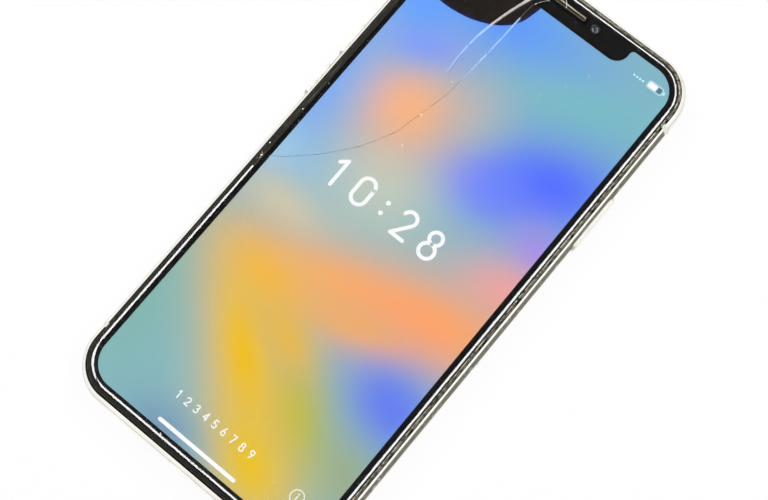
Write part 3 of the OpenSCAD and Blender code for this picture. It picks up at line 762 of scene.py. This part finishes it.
def sides_of(points, widths):
    """Left and right edges of a band of changing width along a line of points."""
    left, right = [], []
    for k, (x, y) in enumerate(points):
        before = points[max(k - 1, 0)]
        after = points[min(k + 1, len(points) - 1)]
        dx, dy = after[0] - before[0], after[1] - before[1]
        length = math.hypot(dx, dy)
        nx, ny = -dy / length, dx / length
        half = widths[k] / 2
        left.append((x + nx * half, y + ny * half))
        right.append((x - nx * half, y - ny * half))
    return left, right


def stroke(points, width):
    """A loop round a line of points, with round ends."""
    left, right = sides_of(points, [width] * len(points))

    def cap(tip, towards):
        """Half a circle round a line's last point."""
        angle = math.degrees(math.atan2(tip[1] - towards[1], tip[0] - towards[0]))
        return arc(tip[0], tip[1], width / 2, angle - 90, angle + 90, 8)[1:-1]

    return right + cap(points[-1], points[-2]) + left[::-1] + cap(points[0], points[1])


def sliver(points, widths):
    """A flat loop of changing width along a line of points."""
    left, right = sides_of(points, widths)
    return right + left[::-1]


def pointed(points, width):
    """Widths along a line that is widest in the middle and has sharp ends."""
    return [width * math.sin(math.pi * (k + 0.5) / len(points)) for k in range(len(points))]


# ------ meshes and pieces

def area(loop):
    pairs = zip(loop, loop[1:] + loop[:1])
    return sum(a[0] * b[1] - b[0] * a[1] for a, b in pairs) / 2


def add_slab(mesh, loops, low, high):
    """Adds a flat closed solid: the first loop is its outline, and the others are holes."""
    turned = [loop if (area(loop) > 0) == (k == 0) else loop[::-1] for k, loop in enumerate(loops)]
    flat = [Vector((x, y, 0)) for loop in turned for x, y in loop]
    triangles = tessellate_polygon([[Vector((x, y, 0)) for x, y in loop] for loop in turned])
    bottom = [mesh.verts.new((p.x * MM, p.y * MM, low * MM)) for p in flat]
    top = [mesh.verts.new((p.x * MM, p.y * MM, high * MM)) for p in flat]
    for a, b, c in triangles:
        cross = (flat[b] - flat[a]).cross(flat[c] - flat[a]).z
        if abs(cross) < 1e-12:
            continue
        a, b, c = (a, b, c) if cross > 0 else (a, c, b)
        mesh.faces.new((top[a], top[b], top[c]))
        mesh.faces.new((bottom[c], bottom[b], bottom[a]))
    start = 0
    for loop in turned:
        count = len(loop)
        for k in range(count):
            a = start + k
            b = start + (k + 1) % count
            mesh.faces.new((bottom[a], bottom[b], top[b], top[a]))
        start += count


def add_skin(mesh, sections, around=True, wrap=False):
    """Joins rows of points, in millimetres, with faces, and returns the rows' vertices.

    around also joins each row's ends, and wrap joins the last row to the first.
    """
    rows = [[mesh.verts.new([value * MM for value in point]) for point in row] for row in sections]
    count = len(rows[0])
    for row, following in zip(rows, rows[1:] + rows[:1] if wrap else rows[1:]):
        for i in range(count if around else count - 1):
            j = (i + 1) % count
            mesh.faces.new((row[i], row[j], following[j], following[i]))
    return rows


def level(points, height):
    """Flat points lifted to a height."""
    return [(x, y, height) for x, y in points]


def add_ring(mesh, x, y, section):
    """Adds a turned solid round a vertical axis; section is (radius, height) round its wall."""
    add_skin(mesh, [level(circle(x, y, radius), z) for radius, z in section], wrap=True)


def add_dome(mesh, x, y, radius, low, rise):
    """Adds a closed dome: the front of a lens."""
    steps = 20
    tilts = [math.radians(18 * k) for k in range(5)]
    rings = add_skin(mesh, [
        level(circle(x, y, radius * math.cos(tilt), steps), low + rise * math.sin(tilt))
        for tilt in tilts
    ])
    tip = mesh.verts.new((x * MM, y * MM, (low + rise) * MM))
    for k in range(steps):
        mesh.faces.new((rings[-1][k], rings[-1][(k + 1) % steps], tip))
    mesh.faces.new(rings[0][::-1])


def add_upright_disc(mesh, x, z, radius, near, far):
    """Adds a disc that stands upright across y, from near to far."""
    rim = circle(x, z, radius, 24)
    front, back = add_skin(mesh, [[(px, y, pz) for px, pz in rim] for y in (near, far)])
    mesh.faces.new(front)
    mesh.faces.new(back[::-1])


def add_slanted(mesh, points, widths, depth, lean):
    """Adds a fracture face as a thin closed sliver: it leans sideways down into the glass."""
    thin = 0.012
    sections = []
    for left, right in zip(*sides_of(points, widths)):
        upper, lower = (left, right) if lean > 0 else (right, left)
        top = glass_z((left[0] + right[0]) / 2, (left[1] + right[1]) / 2) - 0.02
        bottom = top - depth
        sections.append([
            (*upper, top), (*lower, bottom), (*lower, bottom - thin), (*upper, top - thin),
        ])
    rows = add_skin(mesh, sections)
    mesh.faces.new(rows[0])
    mesh.faces.new(rows[-1][::-1])


def add_edge_ribbon(mesh, radii, lift, path, closed):
    """Adds a thin solid that lies on the glass's rounded edge; path gives its line for a radius."""
    highest = Z_FRONT - 0.002
    sunk = 0.02
    section = [(radius, min(glass_edge_z(radius) + lift, highest)) for radius in radii]
    section += [(radius, glass_edge_z(radius) - sunk) for radius in reversed(radii)]
    lines = add_skin(mesh, [level(path(radius), z) for radius, z in section], closed, wrap=True)
    if not closed:
        mesh.faces.new([line[0] for line in lines])
        mesh.faces.new([line[-1] for line in reversed(lines)])


def new_object(name, data):
    """An object that is linked to the scene."""
    made = bpy.data.objects.new(name, data)
    bpy.context.scene.collection.objects.link(made)
    return made


def mesh_object(name, mesh, material):
    """An object from a bmesh, which is freed."""
    data = bpy.data.meshes.new(name)
    mesh.to_mesh(data)
    mesh.free()
    data.materials.append(material)
    return new_object(name, data)


def piece(name, material, build, body="phone", smooth=False):
    """Makes one named piece: build fills a bmesh, and the piece rides on its CAD body."""
    mesh = bmesh.new()
    build(mesh)
    bmesh.ops.recalc_face_normals(mesh, faces=mesh.faces)
    for face in mesh.faces:
        face.smooth = smooth
    made = mesh_object(name, mesh, material)
    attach(made, body)
    return made


def plates(name, material, shapes, low, high):
    """A piece of flat solids at one height; a shape is an outline and then its holes."""
    def build(mesh):
        for loops in shapes:
            add_slab(mesh, loops, low, high)
    piece(name, material, build)


# ------ the screen

def screen_picture():
    shape = [picture_outline()]
    plates("screen_picture", lit_picture(), [shape], Z_PICTURE - FILM, Z_PICTURE)


def border_print():
    """Black print round the picture, open over the earpiece and the front camera."""
    shape = [
        body_outline(PRINT_R),
        picture_outline(),
        rounded(0, SLOT_Y, 4.4, 0.5, 0.45, 6),
        circle(FRONT_CAMERA_X, SENSOR_Y, 1.15),
    ]
    plates("border_print", border_black(), [shape], Z_PRINT - FILM, Z_PRINT)


# the dark area's lower edge, from the notch to the picture's left side
DEAD_EDGE = (
    (-5.6, 63.4), (-5.9, 61.2), (-7.2, 56.9), (-10.3, 53.4), (-15.6, 50.8), (-20.8, 49.7),
    (-25.2, 49.6), (-28.6, 50.6), (-32.0, 53.2),
)


def dead_loop(grow):
    """The dark area as a loop, its lower edge moved out by grow and its rest under the border."""
    edge = smooth_line(DEAD_EDGE)
    moved, _ = sides_of(edge, [2 * grow] * len(edge))
    corner = arc(-ARC_X, ARC_Y, PICTURE_R + 0.8, 180, 90, 12)
    return [*moved, *corner, (moved[0][0], corner[-1][1])]


def dead_area():
    """The broken display's dark area, with its stained edge a hair lower."""
    low = Z_OVERLAY - FILM
    fringe = [dead_loop(0.2)]
    plates("dead_area_fringe", dead_fringe(), [fringe], low - 0.004, low)
    plates("dead_area", dead_display(), [[dead_loop(-0.42)]], low, Z_OVERLAY)


# numerals in a box one unit wide and two high, as lines and arcs
DIGITS = {
    "0": [arc(0.5, 1.42, 0.5, 0, 180, 16) + arc(0.5, 0.58, 0.5, 180, 360, 16) + [(1.0, 1.42)]],
    "1": [[(0.2, 1.56), (0.62, 1.9)], [(0.62, 1.92), (0.62, 0.08)]],
    "2": [arc(0.5, 1.42, 0.46, 165, -38, 16) + [(0.06, 0.1)], [(0.04, 0.08), (0.98, 0.08)]],
    "3": [arc(0.46, 1.45, 0.42, 150, -90, 16), arc(0.46, 0.55, 0.48, 90, -150, 16)],
    "4": [[(0.78, 0.08), (0.78, 1.92)], [(0.76, 1.9), (0.05, 0.62)], [(0.05, 0.6), (1.0, 0.6)]],
    "5": [
        [(0.9, 1.92), (0.2, 1.92)], [(0.2, 1.92), (0.14, 1.02)],
        arc(0.46, 0.6, 0.52, 128, -140, 18),
    ],
    "6": [arc(0.5, 0.56, 0.48, 0, 360, 24), [(0.05, 0.72), (0.66, 1.94)]],
    "7": [[(0.05, 1.92), (0.98, 1.92)], [(0.98, 1.9), (0.36, 0.08)]],
    "8": [arc(0.5, 1.46, 0.42, -90, 270, 24), arc(0.5, 0.54, 0.5, 90, 450, 24)],
    "9": [arc(0.5, 1.44, 0.48, 0, 360, 24), [(0.95, 1.28), (0.34, 0.06)]],
}


def numerals(text, x, y, height, gap, width):
    """Shapes of numerals in a row from x; a colon is two dots."""
    unit = height / 2
    shapes = []
    for glyph in text:
        if glyph == ":":
            dot_x = x + 0.15 * unit
            shapes += [[circle(dot_x, y + up * unit, width * 0.62, 16)] for up in (0.62, 1.38)]
            x += 0.3 * unit + gap
            continue
        for line in DIGITS[glyph]:
            shapes.append([stroke([(x + u * unit, y + v * unit) for u, v in line], width)])
        x += unit + gap
    return shapes


CLOCK = {"x": -18.6, "y": -1.3, "height": 7.5, "gap": 3.75, "width": 0.9}
HINT = {"x": -11.6, "y": -60.0, "height": 2.0, "gap": 1.65, "width": 0.3}
ICON_PLACE = (23.8, -59.7)
BATTERY_PLACE = (27.0, 63.5)
DOTS_PLACE = (21.3, 63.1)
DOT_PITCH = 0.83


def screen_marks():
    """What is lit on the screen: plain numerals, a row of dots, a bar, small status marks."""
    white = lit_mark("lit_white", (252, 253, 253))
    grey = lit_mark("lit_grey", (96, 124, 142))
    cyan = lit_mark("lit_cyan", (206, 244, 254))

    def mark(name, material, *shapes):
        plates(name, material, shapes, Z_OVERLAY - FILM, Z_OVERLAY)

    mark("clock_numerals", white, *numerals("10:28", **CLOCK))
    mark("hint_numerals", white, *numerals("123456789", **HINT))
    mark("home_bar", white, [rounded(0, -65.8, 11.15, 0.46, 0.45)])

    x, y = ICON_PLACE
    mark("ring_icon", white,
         [circle(x, y, 1.72), circle(x, y, 1.5)],
         [stroke([(x, y - 0.75), (x, y + 0.2)], 0.26)],
         [circle(x, y + 0.72, 0.2, 16)])

    x, y = BATTERY_PLACE
    mark("battery_icon", cyan,
         [rounded(x, y, 2.05, 0.98, 0.5), rounded(x, y, 1.9, 0.83, 0.4)],
         [rounded(x + 2.4, y, 0.22, 0.4, 0.2, 4)])
    mark("battery_icon_charge", white, [rounded(x - 0.65, y, 1.15, 0.72, 0.3, 5)])
    mark("battery_icon_rest", grey, [rounded(x + 1.15, y, 0.55, 0.6, 0.16, 5)])

    x, y = DOTS_PLACE
    mark("status_dots", cyan, *[[circle(x + DOT_PITCH * k, y, 0.27, 14)] for k in range(4)])


# ------ the front sensors

BARREL = ((1.28, 7.32), (1.28, 7.86), (1.1, 7.86), (0.84, 7.7), (0.8, 7.32))  # radius, height
SENSOR_WINDOWS = ((-13.7, 1.25), (13.6, 1.1))  # x, radius


def front_parts():
    """The earpiece's worn rim, the front camera's lens and the faint sensor windows."""
    rim_steel = polished_steel("earpiece_rim_steel", (190, 182, 158), 0.35, 0.2).material
    rim = [rounded(0, SLOT_Y, 4.4, 0.5, 0.45, 8), rounded(0, SLOT_Y, 4.26, 0.36, 0.34, 8)]
    plates("earpiece_rim", rim_steel, [rim], Z_GLASS - 0.03, Z_FRONT - 0.22)

    barrel = plain_finish("camera_barrel", (92, 98, 116), 0.4, Specular_IOR_Level=0.5)
    piece("front_camera_barrel", barrel,
          lambda mesh: add_ring(mesh, FRONT_CAMERA_X, SENSOR_Y, BARREL))

    coated = coated_lens("camera_lens", (28, 44, 84), 0.04, 2.4, 0.9, (18, 22, 40), (64, 78, 116))
    piece("front_camera_lens", coated,
          lambda mesh: add_dome(mesh, FRONT_CAMERA_X, SENSOR_Y, 0.82, 7.6, 0.2), smooth=True)

    window = plain_finish("sensor_window", (30, 27, 30), 0.2, Specular_IOR_Level=0.5)
    low = Z_PRINT - FILM - 0.006
    plates("sensor_windows", window,
           [[circle(x, SENSOR_Y, radius)] for x, radius in SENSOR_WINDOWS], low, low + 0.004)


# ------ the rear and the lower end

REAR_X = 24.9  # middle of the rear cameras
FLASH_Y = 55.2
REAR_LENSES = ((62.8, 2.4), (47.6, 1.9))  # y, and radius of the recess in front of the lens
PRINT_Z = 0.76  # just behind the cameras' cover glass
# wall of a stepped lens hood: how far out from the recess's radius, and height
HOOD = (
    (0.35, 0.78), (-0.05, 0.9), (-0.1, 1.2), (-0.4, 1.25), (-0.45, 1.6), (-0.7, 1.65),
    (-0.7, 1.95), (0.35, 1.95),
)
TRIM = ((3.35, 0.77), (3.68, 0.77), (3.68, 0.84), (3.35, 0.84))  # radius, height


def rear_camera_parts():
    """Behind the cameras' cover glass: black print, trim rings, stepped hoods and front lenses."""
    print_shape = [
        rounded(REAR_X, FLASH_Y, 5.25, 12.35, 5.2, 20),
        *[circle(REAR_X, y, 3.7) for y, _ in REAR_LENSES],
        circle(REAR_X, FLASH_Y, 1.6),
    ]
    plates("rear_camera_print", border_black(), [print_shape],
           PRINT_Z, PRINT_Z + 0.03)

    def trims(mesh):
        for y, _ in REAR_LENSES:
            add_ring(mesh, REAR_X, y, TRIM)
    steel = polished_steel("lens_trim_steel", (206, 206, 204), 0.22, 0.1).material
    piece("rear_lens_trims", steel, trims)

    def hoods(mesh):
        for y, recess in REAR_LENSES:
            add_ring(mesh, REAR_X, y, [(recess + out, height) for out, height in HOOD])
    hood = plain_finish("lens_hood", (26, 27, 31), 0.35, Specular_IOR_Level=0.6)
    piece("rear_lens_hoods", hood, hoods)

    def lenses(mesh):
        for y, recess in REAR_LENSES:
            add_dome(mesh, REAR_X, y, recess - 0.72, 1.9, -0.5)
    coated = coated_lens("rear_lens", (22, 30, 52), 0.05, 2.0, 0.7, (14, 20, 34), (52, 40, 84))
    piece("rear_lenses", coated, lenses, smooth=True)

    chips = [
        [rounded(REAR_X + x, FLASH_Y + y, 0.42, 0.42, 0.1, 4)]
        for x in (-0.5, 0.5) for y in (-0.5, 0.5)
    ]
    plates("flash_chips", flash_amber(), chips, 0.77, 0.82)


HOLE_X = 11.6  # first hole on each side of the charging port
HOLE_PITCH = 2.55
HOLE_COUNT = 6
HOLE_R = 0.75
HOLE_Z = 4.95  # height of the row of holes and of the port
GAUZE_Y = -70.75
CONTACT_COUNT = 8
CONTACT_PITCH = 0.86


def lower_end_parts():
    """Gauze inside the speaker and microphone holes, and the contacts inside the port."""
    def gauze(mesh):
        for side in (-1, 1):
            for k in range(HOLE_COUNT):
                x = side * (HOLE_X + k * HOLE_PITCH)
                add_upright_disc(mesh, x, HOLE_Z, HOLE_R - 0.01, GAUZE_Y, GAUZE_Y + 0.08)
    piece("hole_gauze", SLOTS["mesh_metal"], gauze)

    gold = brushed_metal("contact_gold", (222, 184, 104), 0.25)

    def contacts(mesh):
        for side in (-1, 1):
            wall = HOLE_Z + side * 1.2
            for k in range(CONTACT_COUNT):
                x = (k - (CONTACT_COUNT - 1) / 2) * CONTACT_PITCH
                strip = rounded(x, -66.0, 0.22, 2.6, 0.1, 4)
                add_slab(mesh, [strip], wall - 0.05, wall + 0.05)
    piece("port_contacts", gold, contacts)


# ------ cracks, chips and dirt

# the long crack, from the left edge up to the notch, as the glass is broken
CRACK_LONG = (
    (-36, -7.5), (-33, -5.7), (-28.4, -2.6), (-22.5, 2.9), (-16.6, 10.1), (-12.5, 17.7),
    (-10.8, 24.6), (-9.2, 31.5), (-8.9, 34.5), (-8.6, 38.3), (-7.9, 50), (-7.7, 56),
    (-7.2, 62.5), (-4.2, 66.9),
)
CRACK_BRANCH = (
    (-12.4, 34.4), (-12.75, 38.6), (-12.9, 42.5), (-12.5, 48.2), (-11.4, 54), (-9.7, 60),
    (-7.9, 65.2), (-5.6, 73),
)
EARPIECE_CRACK = ((-2.6, 68.8), (-2.2, 67.8), (-1.5, 67.1), (-1.0, 66.4), (-0.9, 65.9))
CRACK_COVER_LINE = ((-7.1, 62.7), (-4.2, 66.9), (-4.0, 68.3))  # painted dark over the long crack's upper end, hiding the crack gap's reflections
GLASS_R = 8.9  # the cracks end this far out from the middle of a corner arc, at the glass's rim


def between(line, low, high):
    """The part of a line on the glass whose y is from low to high, in short steps."""
    points = resample(line, 0.35)
    return [p for p in points if low <= p[1] <= high and out_from_arcs(*p) < GLASS_R]


def tapered(points, start, end, rng, uneven=0.12):
    """Widths that go smoothly from start to end, a little uneven."""
    last = len(points) - 1
    return [
        (start + (end - start) * k / last) * (1 + rng.uniform(-uneven, uneven))
        for k in range(last + 1)
    ]


def cracks():
    """The fracture faces inside the glass: bright with a painted glow where they lean, a dark
    hairline elsewhere; the upper faces' blue is painted screen light.
    """
    rng = random.Random(11)
    long_line = smooth_line(CRACK_LONG)
    branch_line = smooth_line(CRACK_BRANCH)
    white = fracture_face("fracture_white", (176, 170, 172), (250, 242, 240), (232, 222, 220), 0.62)
    # painted light: the pale faces' blue tint and glow stand for the blue screen's light
    pale = fracture_face("fracture_pale", (132, 172, 236), (214, 228, 250), (186, 212, 252), 0.72)

    def faces(name, material, parts, lean=1):
        """A piece of slanted faces; a part is its line, range of y, end widths and depth."""
        def build(mesh):
            for line, (low_y, high_y), (start, end), depth in parts:
                points = between(line, low_y, high_y)
                add_slanted(mesh, points, tapered(points, start, end, rng), depth, lean)
        piece(name, material, build)

    faces("crack_face_branch", white, ((branch_line, (51.6, 70.0), (0.42, 0.68), 0.32),))
    faces("crack_face_upper", pale, (
        (branch_line, (44.6, 51.8), (0.34, 0.44), 0.28),
        (branch_line, (35.4, 44.8), (0.05, 0.34), 0.14),
        (long_line, (46.0, 57.6), (0.26, 0.34), 0.25),
        (long_line, (36.6, 46.2), (0.04, 0.26), 0.12),
    ))
    faces("crack_hairline", fracture_dark(), (
        (long_line, (-7.4, 2.0), (0.04, 0.06), 0.15),
        (long_line, (1.8, 18.0), (0.06, 0.07), 0.15),
        (long_line, (17.8, 24.4), (0.07, 0.05), 0.15),
        (long_line, (24.0, 37.2), (0.04, 0.02), 0.1),
        (long_line, (57.4, 62.4), (0.28, 0.12), 0.2),
    ), lean=-1)

    line = smooth_line(EARPIECE_CRACK)
    widths = tapered(line, 0.18, 0.12, rng)
    piece("crack_at_earpiece", white,
          lambda mesh: add_slanted(mesh, line, widths, 0.1, 1))

    # painted shade: a dark sliver over the crack's upper end that hides the crack gap's reflections
    cover_line = resample(CRACK_COVER_LINE, 0.4)
    dirt = [sliver(cover_line, tapered(cover_line, 0.34, 0.3, rng))]
    plates("crack_painted_dark_cover", crack_painted_dark(), [dirt], Z_FRONT - 0.05, Z_FRONT - 0.004)


def add_chip(mesh, x, y, size, rng, squash=0.6, turn=0.0):
    """Adds one small angular chip that lies in the surface of the cover glass."""
    surface = glass_z(x, y)
    count = rng.randint(5, 8)
    loop = []
    for k in range(count):
        angle = 2 * math.pi * k / count
        reach = size * rng.uniform(0.65, 1.1)
        u, v = reach * math.cos(angle), reach * squash * math.sin(angle)
        loop.append((x + u * math.cos(turn) - v * math.sin(turn),
                     y + u * math.sin(turn) + v * math.cos(turn)))
    add_slab(mesh, [loop], surface - 0.06, min(surface + 0.02, Z_FRONT - 0.004))


RIM_RADII = (8.5, 8.6, 8.7, 8.78, 8.86, 8.93)  # where the rim's painted dark reflection and dirt lie on the glass edge
FILM_RADII = [7.45 + 0.07 * k for k in range(15)]  # where the broken corner's film lies
SHARD_LOW_Y = -8.8  # where the film on the broken corner's outer edge starts


def shard_side(radius):
    """A line along the broken corner's outer edge, up the left side and round the corner."""
    x = -ARC_X - radius
    count = 24
    straight = [(x, SHARD_LOW_Y + (ARC_Y - SHARD_LOW_Y) * k / count) for k in range(count)]
    return straight + arc(-ARC_X, ARC_Y, radius, 180, 90, 16)


def edge_shade_and_dirt():
    """Painted dark reflection and dried dirt on the outer edge of the cover glass, and a painted
    dark film on the broken corner.

    The film keeps the lamps from drawing their bright line there.
    """
    piece("rim_shade_and_dirt", rim_shade_and_dirt_look(),
          lambda mesh: add_edge_ribbon(mesh, RIM_RADII, 0.008, body_outline, closed=True))
    piece("edge_shade_film", edge_shade_film_look(),
          lambda mesh: add_edge_ribbon(mesh, FILM_RADII, 0.012, shard_side, closed=False))


# chips in the glass: x, y, size, how flat, turn
CHIPS = (
    (-10.6, 24.8, 0.42, 0.4, 1.2),
    (-32.65, -5.6, 0.36, 0.6, 0.4),
    (-33.05, -5.0, 0.16, 0.6, 0.0),
    (-33.2, -2.1, 0.24, 0.7, 0.9),
    (-32.5, 8.75, 0.22, 0.7, 0.2),
    (-31.9, 17.3, 0.1, 0.7, 0.0),
    (-8.3, -68.2, 0.26, 0.8, 0.0),
    (-10.0, 35.3, 0.26, 0.4, 2.6),
    (-10.4, 17.7, 0.15, 0.7, 0.0),
    (-9.3, 16.4, 0.22, 0.7, 0.0),
)
# nicks in the glass edge at the upper right corner: x, y, size
EDGE_NICKS = ((32.3, 63.9, 0.26), (31.85, 65.0, 0.12), (30.3, 67.0, 0.14))
# grains of dust on the glass: x, y, size
GRAINS = (
    (13.5, 56.2, 0.24), (10.9, 51.0, 0.2), (11.8, 53.2, 0.12), (-10.6, 7.6, 0.17),
    (-26.0, 4.7, 0.1), (-31.5, 30.9, 0.1), (-20.5, -33.0, 0.1), (16.2, 41.0, 0.1),
    (5.2, -22.6, 0.12), (-18.0, 5.4, 0.13), (-19.6, -4.6, 0.12), (-6.3, 1.2, 0.1),
    (5.6, -7.9, 0.12), (-1.2, -56.4, 0.12), (-14.8, 41.8, 0.1), (20.6, 7.2, 0.1),
)
CRUMB_COUNT = 9  # crumbs of glass where the long crack meets the left edge
SPECK_COUNT = 110  # fine dust all over the glass
# scratches in the glass: the line each follows, and its width
SCRATCHES = (
    (((17.0, -59.9), (18.2, -60.8), (19.7, -61.6)), 0.09),
    (((7.4, 48.0), (7.5, 45.6), (7.2, 43.9)), 0.04),
)
SMEARS = ((1.6, 0.5), (2.7, 0.34), (3.9, 0.55), (4.7, 0.25))  # x and width, on the lower border


def chips_and_dust():
    """Chips along the cracks and the rim, dust on the glass, and a smear on the border."""
    rng = random.Random(23)

    def chips(mesh):
        for x, y, size, squash, turn in CHIPS:
            add_chip(mesh, x, y, size, rng, squash, turn)
        for _ in range(CRUMB_COUNT):
            add_chip(mesh, rng.uniform(-33.4, -32.4), rng.uniform(-7.0, -5.2),
                     rng.uniform(0.05, 0.13), rng)
        for x, y, size in EDGE_NICKS:
            add_chip(mesh, x, y, size, rng, 0.6, 0.9)
    piece("glass_chips", glass_chip(), chips)

    def specks(mesh):
        for x, y, size in GRAINS:
            add_chip(mesh, x, y, size, rng, 0.8)
        for _ in range(SPECK_COUNT):
            x = rng.uniform(-32, 32)
            y = rng.uniform(-69, 69)
            add_chip(mesh, x, y, rng.uniform(0.03, 0.075), rng, 0.7, rng.uniform(0, 3))
    piece("dust_specks", dust("dust"), specks)

    low, high = Z_FRONT - 0.05, Z_FRONT - 0.004
    smears = []
    for x, width in SMEARS:
        line = resample([(x - 0.9, -68.6), (x + 0.5, -67.7)], 0.2)
        smears.append([sliver(line, pointed(line, width))])
    plates("border_smear", smudge(), smears, low, high)

    scratches = []
    for ends, width in SCRATCHES:
        line = resample(ends, 0.3)
        scratches.append([sliver(line, pointed(line, width))])
    plates("glass_scratches", dust("scratch_dust"), scratches, low, high)


# ------ floor, light and camera

FLOOR_HALF = 900  # mm
FLOOR_WHITE = 0.93  # how much of the floor's look is plain white; the rest is lit and takes shadow


def floor_look():
    """White to the camera, glossy and transmission rays, but for a share that takes shadow."""
    look = Look("floor", (0.92, 0.92, 0.92, 1), 0.9, Specular_IOR_Level=0.0)
    path = look.node("ShaderNodeLightPath").outputs
    seen = look.math("MAXIMUM", path["Is Camera Ray"], path["Is Glossy Ray"],
                     path["Is Transmission Ray"])
    white = look.node("ShaderNodeEmission")
    mixed = look.node("ShaderNodeMixShader")
    look.link(look.math("MULTIPLY", seen, FLOOR_WHITE), mixed.inputs["Fac"])
    look.link(look.shader.outputs[0], mixed.inputs[1])
    look.link(white.outputs[0], mixed.inputs[2])
    look.link(mixed.outputs[0], look.nodes["Material Output"].inputs["Surface"])
    return look.material


def floor():
    """A plain pale floor that keeps the phone's shadow."""
    mesh = bmesh.new()
    bmesh.ops.create_grid(mesh, x_segments=1, y_segments=1, size=FLOOR_HALF * MM)
    made = mesh_object("floor", mesh, floor_look())
    made.location.z = -0.02 * MM


# light from the room by height above the horizon, in degrees: pale skirting, grey walls and ceiling
ROOM = ((0, 1.25), (8, 1.25), (13, 0.2), (33, 0.16), (48, 0.11), (60, 0.032), (90, 0.024))


def world():
    """An even studio room: pale at the horizon, darker walls, a grey ceiling."""
    made = bpy.data.worlds.new("studio")
    bpy.context.scene.world = made
    made.use_nodes = True
    nodes, links = made.node_tree.nodes, made.node_tree.links
    coordinates = nodes.new("ShaderNodeTexCoord")
    parts = nodes.new("ShaderNodeSeparateXYZ")
    links.new(coordinates.outputs["Generated"], parts.inputs[0])
    ramp = nodes.new("ShaderNodeValToRGB")
    ramp.color_ramp.interpolation = "EASE"
    links.new(parts.outputs["Z"], ramp.inputs["Fac"])
    elements = ramp.color_ramp.elements
    elements.remove(elements[1])
    for k, (height, level) in enumerate(ROOM):
        place = math.sin(math.radians(height))
        element = elements[0] if k == 0 else elements.new(place)
        element.position = place
        element.color = (level, level, level, 1)
    links.new(ramp.outputs["Color"], nodes["Background"].inputs["Color"])


# strip lamps that frame the grey ceiling: name, both ends of the middle line as slopes x and y
# from straight up, and the strip's width in those slopes
STRIPS = (
    ("strip_right", (0.64, -0.06), (0.64, 0.50), 0.56),
    ("strip_far_right", (0.66, 0.54), (-0.04, 1.14), 0.42),
    ("strip_far", (-0.10, 1.10), (-0.50, 1.10), 0.5),
    ("strip_left", (-0.94, 0.54), (-0.94, -0.04), 0.70),
    ("strip_near_left", (-0.90, -0.14), (-0.40, -0.28), 0.34),
    ("strip_near", (-0.36, -0.26), (-0.04, -0.26), 0.36),
)
LAMP_HEIGHT = 1.4  # metres
LAMP_LEVEL = 4.9


def strip_lamps():
    """Long soft lamps in a frame, which draw the bright line round the glass edge."""
    for name, start, end, width in STRIPS:
        data = bpy.data.lights.new(name, "AREA")
        data.shape = "RECTANGLE"
        run = Vector(end) - Vector(start)
        middle = (Vector(start) + Vector(end)) / 2
        data.size = run.length * LAMP_HEIGHT
        data.size_y = width * LAMP_HEIGHT
        data.energy = LAMP_LEVEL * data.size * data.size_y * math.pi
        made = new_object(name, data)
        made.location = Vector((middle.x, middle.y, 1.0)) * LAMP_HEIGHT
        made.rotation_euler = (0, 0, math.atan2(run.y, run.x))


CAMERA_PLACE = (71.87, -68.20, 372.13)  # mm
CAMERA_TURN = (14.236, 2.005, 39.617)  # degrees
CAMERA_LENS = 78.35


def camera():
    data = bpy.data.cameras.new("camera")
    data.lens = CAMERA_LENS
    data.sensor_width = 36
    data.clip_start = 0.01
    data.clip_end = 10
    made = new_object("camera", data)
    made.location = Vector(CAMERA_PLACE) * MM
    made.rotation_euler = [math.radians(value) for value in CAMERA_TURN]
    bpy.context.scene.camera = made


# ------ make it all

camera()
world()
strip_lamps()
floor()
finish_cad_nodes()
screen_picture()
border_print()
dead_area()
screen_marks()
front_parts()
rear_camera_parts()
lower_end_parts()
cracks()
edge_shade_and_dirt()
chips_and_dust()

bpy.context.scene.view_settings.view_transform = "Standard"
